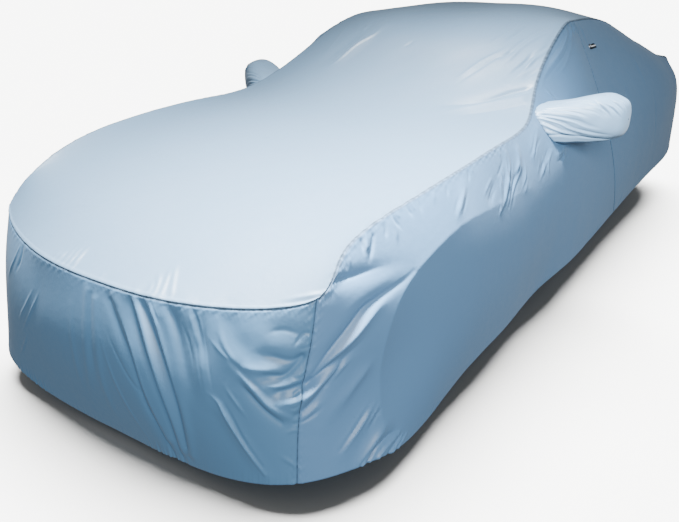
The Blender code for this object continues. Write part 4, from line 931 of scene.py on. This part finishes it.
def pocket_point(section, turn):
    c = np.cos(turn)
    s = np.sin(turn)
    x, y, z, half_y, half_z = np.moveaxis(section, -1, 0)
    reach_y = half_y * np.sign(c) * np.abs(c) ** (2 / POCKET_POWER)
    reach_z = half_z * np.sign(s) * np.abs(s) ** (2 / POCKET_POWER)
    return np.stack([x + 0 * c, y + reach_y, z + reach_z], axis=-1) * MM


def pocket_start(panel, side, turn):
    """How far out the pocket leaves the panel at each turn."""
    tree = BVHTree.FromObject(panel, bpy.context.evaluated_depsgraph_get())
    fine = np.linspace(0, *POCKET_SEARCH)
    begin = np.zeros(len(turn))
    line = pocket_point(pocket_sections(fine)[:, None, :], turn[None, :]) * (side, 1, 1)
    for column in range(len(turn)):
        for row in range(len(fine) - 1, -1, -1):
            spot = Vector(line[row, column] - HOLD_POINT)
            hit, normal = tree.find_nearest(spot)[:2]
            if (spot - hit).dot(normal) < 0:
                begin[column] = fine[row]
                break
    return (begin + np.roll(begin, 1) + np.roll(begin, -1)) / 3


def pocket_piece(name, side, panel, finish):
    """A pocket that starts on the side panel's surface and closes round its outer end."""
    shape = (POCKET_ROWS, POCKET_COLUMNS)
    turn = np.linspace(0, 2 * np.pi, POCKET_COLUMNS, endpoint=False)
    begin = pocket_start(panel, side, turn)
    share = 1 - (1 - np.linspace(0, 1, POCKET_ROWS)) ** POCKET_CLOSING
    out = begin[None] + (1 - begin)[None] * share[:, None]
    grid = pocket_point(pocket_sections(out.ravel()).reshape(*shape, 5), np.broadcast_to(turn, shape))
    outward = facing(np.concatenate([grid[:, -1:], grid, grid[:, :1]], axis=1))[:, 1:-1]
    centre = grid.mean(axis=(0, 1))
    outward *= np.sign(((grid - centre) * outward).sum(-1, keepdims=True))
    folds = []
    for width, height, form, lean, ends, path in fold_rows(POCKET_FOLDS, True):
        places = path_between(path, TOP_STEPS)
        run = pocket_point(pocket_sections(places[:, 0]), np.radians(places[:, 1]))
        folds.append((run, width, height, form, lean, ends))
    flat = grid.reshape(-1, 3)
    height = fold_height(flat, outward.reshape(-1, 3), folds).reshape(shape)
    height += POCKET_UNEVEN_HEIGHT * waves(flat, *POCKET_WAVES).reshape(shape)
    gap = np.repeat(run_lengths(grid[:, 0])[:, None], POCKET_COLUMNS, axis=1)
    along = np.broadcast_to(run_lengths(grid[0])[None], shape)
    height += seam_relief(gap, grid)
    height *= ease(np.linspace(1, 0, POCKET_ROWS) / POCKET_TIP)[:, None]
    grid = (grid + height[:, :, None] * outward) * (side, 1, 1)
    first = np.arange(POCKET_ROWS - 1)[:, None] * POCKET_COLUMNS
    start = (first + np.arange(POCKET_COLUMNS)).ravel()
    beside = (first + np.roll(np.arange(POCKET_COLUMNS), -1)).ravel()
    faces = np.stack([start, beside, beside + POCKET_COLUMNS, start + POCKET_COLUMNS], axis=1)
    return new_piece(name, grid, faces if side > 0 else faces[:, ::-1], finish, along, gap)


def open_mouth(panel, side):
    """Cut the side panel away inside the pocket's mouth."""
    mesh = panel.data
    table = np.array(POCKET_SECTIONS, float)
    centres = np.empty(len(mesh.polygons) * 3)
    mesh.polygons.foreach_get("center", centres)
    centres = (centres.reshape(-1, 3) + HOLD_POINT) / MM * (side, 1, 1)
    spot = [np.interp(centres[:, 0], table[:, 0], table[:, i]) for i in range(1, 5)]
    across = np.abs((centres[:, 1] - spot[0]) / (spot[2] * POCKET_MOUTH)) ** POCKET_POWER
    across += np.abs((centres[:, 2] - spot[1]) / (spot[3] * POCKET_MOUTH)) ** POCKET_POWER
    inside = (across < 1) & (centres[:, 0] > table[0, 0])
    sheet = bmesh.new()
    sheet.from_mesh(mesh)
    sheet.faces.ensure_lookup_table()
    doomed = [sheet.faces[i] for i in np.nonzero(inside)[0]]
    bmesh.ops.delete(sheet, geom=doomed, context="FACES")
    sheet.to_mesh(mesh)
    sheet.free()


# ---------------------------------------------------------------- tab
def tab_piece(name, panel, finish):
    """Flat webbing tab that lies on the left rear side panel."""
    tree = BVHTree.FromObject(panel, bpy.context.evaluated_depsgraph_get())
    station, drop = TAB_START
    stations = (station, station + 0.1, station)
    start, ahead, below = skirt_points(stations, [[drop], [drop], [drop + 0.05]])[:, 0]
    along = unit(ahead - start)
    down = unit(below - start)
    down = unit(down - along * (down @ along))
    away = np.cross(down, along)
    shares, across = (np.linspace(0, 1, count) for count in TAB_GRID)
    rows = []
    for share in shares:
        end = 1 - abs(2 * share - 1) ** TAB_ENDS
        row = []
        for over in across:
            high = TAB_THICKNESS * (1 - abs(2 * over - 1) ** TAB_EDGES) + TAB_RIM
            place = start + along * TAB_LENGTH * share + down * TAB_WIDTH * over
            spot = np.array(tree.find_nearest(Vector(place + away * 0.05 - HOLD_POINT))[0]) + HOLD_POINT
            row.append(spot + away * (TAB_GAP + high * (0.2 + 0.8 * end)))
        rows.append([row[0] - away * TAB_TURN_DOWN, *row, row[-1] - away * TAB_TURN_DOWN])
    grid = np.array(rows)
    from_middle = TAB_WIDTH * (np.pad(across, 1, mode="edge") - 0.5)
    places = np.meshgrid(TAB_LENGTH * shares, from_middle, indexing="ij")
    return new_piece(name, grid, grid_faces(*grid.shape[:2]), finish, *places)


# ---------------------------------------------------------------- materials
def set_inputs(tree, node, values):
    """Set a node's inputs: a socket is linked, and anything else is a constant on the input itself."""
    for key, value in values.items():
        if isinstance(value, bpy.types.NodeSocket):
            tree.links.new(value, node.inputs[key])
        else:
            node.inputs[key].default_value = value


def add_node(tree, kind, outlet, values, **settings):
    """Add a node and give one of its outlets."""
    node = tree.nodes.new("ShaderNode" + kind)
    for key, value in settings.items():
        setattr(node, key, value)
    set_inputs(tree, node, values)
    return node.outputs[outlet]


def math_node(tree, operation, first, second=0.0, clamp=False):
    return add_node(tree, "Math", "Value", {0: first, 1: second}, operation=operation, use_clamp=clamp)


def mix_colours(tree, first, second, share):
    return add_node(tree, "Mix", "Result", {"A": first, "B": second, "Factor": share}, data_type="RGBA")


def band(tree, value, centre, half_width):
    """1 at the centre of a band, falling to 0 at its edges."""
    off = math_node(tree, "ABSOLUTE", math_node(tree, "SUBTRACT", value, centre))
    return math_node(tree, "SUBTRACT", 1.0, math_node(tree, "DIVIDE", off, half_width), clamp=True)


def dashes(tree, value, pitch, share):
    """1 on the dashes of a dashed line and 0 in the gaps."""
    place = math_node(tree, "FRACT", math_node(tree, "DIVIDE", value, pitch))
    return math_node(tree, "LESS_THAN", place, share)


def patches(tree, value, scale):
    """Uneven spots from 0 to 1 along a line."""
    noise = add_node(tree, "TexNoise", "Fac", {"Scale": scale, "Detail": 2.0, "W": value},
                     noise_dimensions="1D")
    return add_node(tree, "MapRange", "Result", {"Value": noise, "From Min": 0.42, "From Max": 0.56})


def new_material(name):
    made = bpy.data.materials.new(name)
    made.use_nodes = True
    return made, made.node_tree, made.node_tree.nodes["Principled BSDF"]


def seam_places(tree):
    """Sockets for the length along the seams and the distance from them."""
    places = tree.nodes.new("ShaderNodeSeparateXYZ")
    set_inputs(tree, places, {"Vector": add_node(tree, "UVMap", "UV", {}, uv_map="seams")})
    return places.outputs["X"], places.outputs["Y"]


def cloth_material(name, light, dark, roughness):
    """Satin-finished woven polyester with fine creasing, slight shade changes, stitched seams and painted
    shade along the seams.
    """
    made, tree, shader = new_material(name)
    place = add_node(tree, "TexCoord", "Object", {})
    along, gap = seam_places(tree)
    cloud = add_node(tree, "TexNoise", "Fac", {"Scale": 2.4, "Detail": 5.0, "Vector": place})
    tint = mix_colours(tree, (*dark, 1), (*light, 1), cloud)
    stitch = math_node(tree, "MULTIPLY", band(tree, gap, *STITCH_LINE),
                       dashes(tree, along, STITCH_PITCH, STITCH_SHARE))
    # painted shade: a dark line along each seam's crease, in the seam shade colour
    edge = math_node(tree, "MINIMUM", band(tree, gap, 0.0, SEAM_SHADE_WIDTH), 0.5)
    uneven = math_node(tree, "ADD", 1.4, math_node(tree, "MULTIPLY", patches(tree, along, SEAM_SPOTS), 0.6))
    edge = math_node(tree, "MULTIPLY", edge, uneven)
    darker = math_node(tree, "MAXIMUM", math_node(tree, "MULTIPLY", stitch, STITCH_STRENGTH),
                       math_node(tree, "MULTIPLY", edge, SEAM_STRENGTH))
    fine = add_node(tree, "TexNoise", "Fac",
                    {"Scale": 38.0, "Detail": 6.0, "Roughness": 0.55, "Vector": place})
    satin = add_node(tree, "MapRange", "Result",
                     {"Value": fine, "To Min": roughness - 0.05, "To Max": roughness + 0.07})
    creased = add_node(tree, "Bump", "Normal", {"Strength": 0.35, "Distance": 0.002, "Height": fine})
    weave = {"Scale": WEAVE_SCALE, "Vector": place}
    threads = (add_node(tree, "TexWave", "Fac", weave, bands_direction=way) for way in "ZY")
    threads = math_node(tree, "ADD", *threads)
    raised = math_node(tree, "ADD", math_node(tree, "MULTIPLY", threads, 0.3),
                       math_node(tree, "MULTIPLY", stitch, 2.0))
    woven = add_node(tree, "Bump", "Normal",
                     {"Strength": 0.25, "Distance": 0.0003, "Height": raised, "Normal": creased})
    set_inputs(tree, shader, {
        "Base Color": mix_colours(tree, tint, (*SEAM_SHADE, 1), darker),
        "Roughness": math_node(tree, "ADD", satin, math_node(tree, "MULTIPLY", edge, 0.5)),
        "Normal": woven,
        "Sheen Weight": 0.04,
        "Sheen Roughness": 0.45,
        "Specular IOR Level": 0.35,
    })
    return made


def webbing_material(name):
    """Dark ribbed webbing with a pale woven stripe down its middle."""
    made, tree, shader = new_material(name)
    along, gap = seam_places(tree)
    stripe = add_node(tree, "MapRange", "Result",
                      {"Value": band(tree, gap, 0.0, TAB_STRIPE), "From Min": 0.02, "From Max": 0.12})
    ribs = dashes(tree, along, TAB_RIBS, 0.5)
    set_inputs(tree, shader, {
        "Base Color": mix_colours(tree, (*TAB_DARK, 1), (*TAB_PALE, 1), stripe),
        "Roughness": 0.75,
        "Specular IOR Level": 0.15,
        "Normal": add_node(tree, "Bump", "Normal", {"Strength": 0.5, "Distance": 0.0003, "Height": ribs}),
    })
    return made


# ---------------------------------------------------------------- studio
def add_area(name, place, aim, size, spread, power, lit):
    """A soft rectangular light that shines on the collection 'lit'."""
    data = bpy.data.lights.new(name, "AREA")
    data.shape = "RECTANGLE"
    data.size, data.size_y = size
    data.energy = power
    data.spread = math.radians(spread)
    made = add_object(name, data)
    made.location = place
    made.rotation_euler = (Vector(aim) - Vector(place)).to_track_quat("-Z", "Y").to_euler()
    made.light_linking.receiver_collection = lit


def group(name, members):
    made = bpy.data.collections.new(name)
    for member in members:
        made.objects.link(member)
    return made


def studio(pieces):
    """Pale floor, soft overhead light on the cover and a separate soft light on the floor round it."""
    world = bpy.data.worlds.new("studio")
    world.use_nodes = True
    set_inputs(world.node_tree, world.node_tree.nodes["Background"],
               {"Color": (*WORLD_COLOUR, 1), "Strength": WORLD_STRENGTH})
    bpy.context.scene.world = world
    floor = bpy.data.meshes.new("floor")
    corners = [(x * FLOOR_REACH, y * FLOOR_REACH, GROUND) for x, y in ((-1, -1), (1, -1), (1, 1), (-1, 1))]
    floor.from_pydata(corners, [], [(0, 1, 2, 3)])
    made, tree, shader = new_material("pale_floor")
    set_inputs(tree, shader, {"Base Color": (*FLOOR_COLOUR, 1), "Roughness": 0.9, "Specular IOR Level": 0.1})
    floor.materials.append(made)
    ground = add_object("floor", floor)
    ground.visible_diffuse = False
    ground.visible_glossy = False
    sun = bpy.data.lights.new("floor_light", "SUN")
    sun.energy = FLOOR_LIGHT
    sun.angle = math.radians(FLOOR_LIGHT_SPREAD)
    sun.color = FLOOR_LIGHT_COLOUR
    lamp = add_object("floor_light", sun)
    lamp.rotation_euler = [math.radians(turn) for turn in FLOOR_LIGHT_TURN]
    lamp.light_linking.receiver_collection = group("floor_lit", [ground])
    for name, place, aim, size, spread, power, starts in COVER_LIGHTS:
        lit = [piece for piece in pieces if piece.name.startswith(starts)]
        add_area(name, place, aim, size, spread, power, group(name + "_lit", lit))


def camera():
    turn = math.radians(CAMERA_AZIMUTH)
    tilt = math.radians(CAMERA_ELEVATION)
    roll = math.radians(CAMERA_ROLL)
    back = Vector((math.sin(turn) * math.cos(tilt), -math.cos(turn) * math.cos(tilt), math.sin(tilt)))
    right = Vector((math.cos(turn), math.sin(turn), 0))
    up = back.cross(right)
    right, up = right * math.cos(roll) + up * math.sin(roll), up * math.cos(roll) - right * math.sin(roll)
    data = bpy.data.cameras.new("view")
    data.sensor_fit = "HORIZONTAL"
    data.sensor_width = CAMERA_SENSOR
    data.lens = CAMERA_LENS
    data.clip_end = 200
    made = add_object("view", data)
    made.matrix_world = Matrix((*zip(right, up, back, CAMERA_PLACE), (0, 0, 0, 1)))
    bpy.context.scene.camera = made


def make_pieces():
    """Every sheet of the cover by the node that it stands for."""
    folds = all_folds()
    rim = rim_of_top()
    # each slot's cloth colours carry the painted shade of its panel
    finishes = {slot: cloth_material(slot + "_finish", *look) for slot, *look in FINISHES_WITH_PAINTED_SHADE}
    finishes["tab_webbing"] = webbing_material("tab_webbing_finish")
    pieces = {}
    for i, (node, first, last, rows, columns, slot, width, length, area) in enumerate(SKIRT_SHEETS):
        seed = GATHER_SEED + 10 * i
        piece = skirt_sheet(node + "_cloth", first, last, rows, columns, folds, rim, seed, finishes[slot])
        pieces[node] = piece
    piece = top_sheet("top_panel_cloth", folds, rim, finishes["top_cloth"])
    pieces["top_panel"] = piece
    bpy.context.view_layer.update()
    for word, side in (("left", 1), ("right", -1)):
        panel = pieces["side_front_" + word]
        node = "mirror_pocket_" + word
        pieces[node] = pocket_piece(node + "_cloth", side, panel, finishes["pocket_cloth"])
        open_mouth(panel, side)
    pieces["side_tab"] = tab_piece("side_tab_webbing", pieces["side_rear_left"], finishes["tab_webbing"])
    return pieces


def declare(pieces):
    """Hide the model's part that each piece stands for and hang the piece on the root body."""
    for node, piece in pieces.items():
        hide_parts(node)
        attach(piece, "root")


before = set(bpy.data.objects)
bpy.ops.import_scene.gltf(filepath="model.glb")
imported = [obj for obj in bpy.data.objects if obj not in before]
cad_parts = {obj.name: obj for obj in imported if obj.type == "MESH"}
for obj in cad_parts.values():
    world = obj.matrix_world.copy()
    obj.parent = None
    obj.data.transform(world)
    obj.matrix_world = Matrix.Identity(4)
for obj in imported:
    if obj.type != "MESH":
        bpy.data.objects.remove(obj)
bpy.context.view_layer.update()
cover = make_pieces()
declare(cover)
studio(list(cover.values()))
camera()
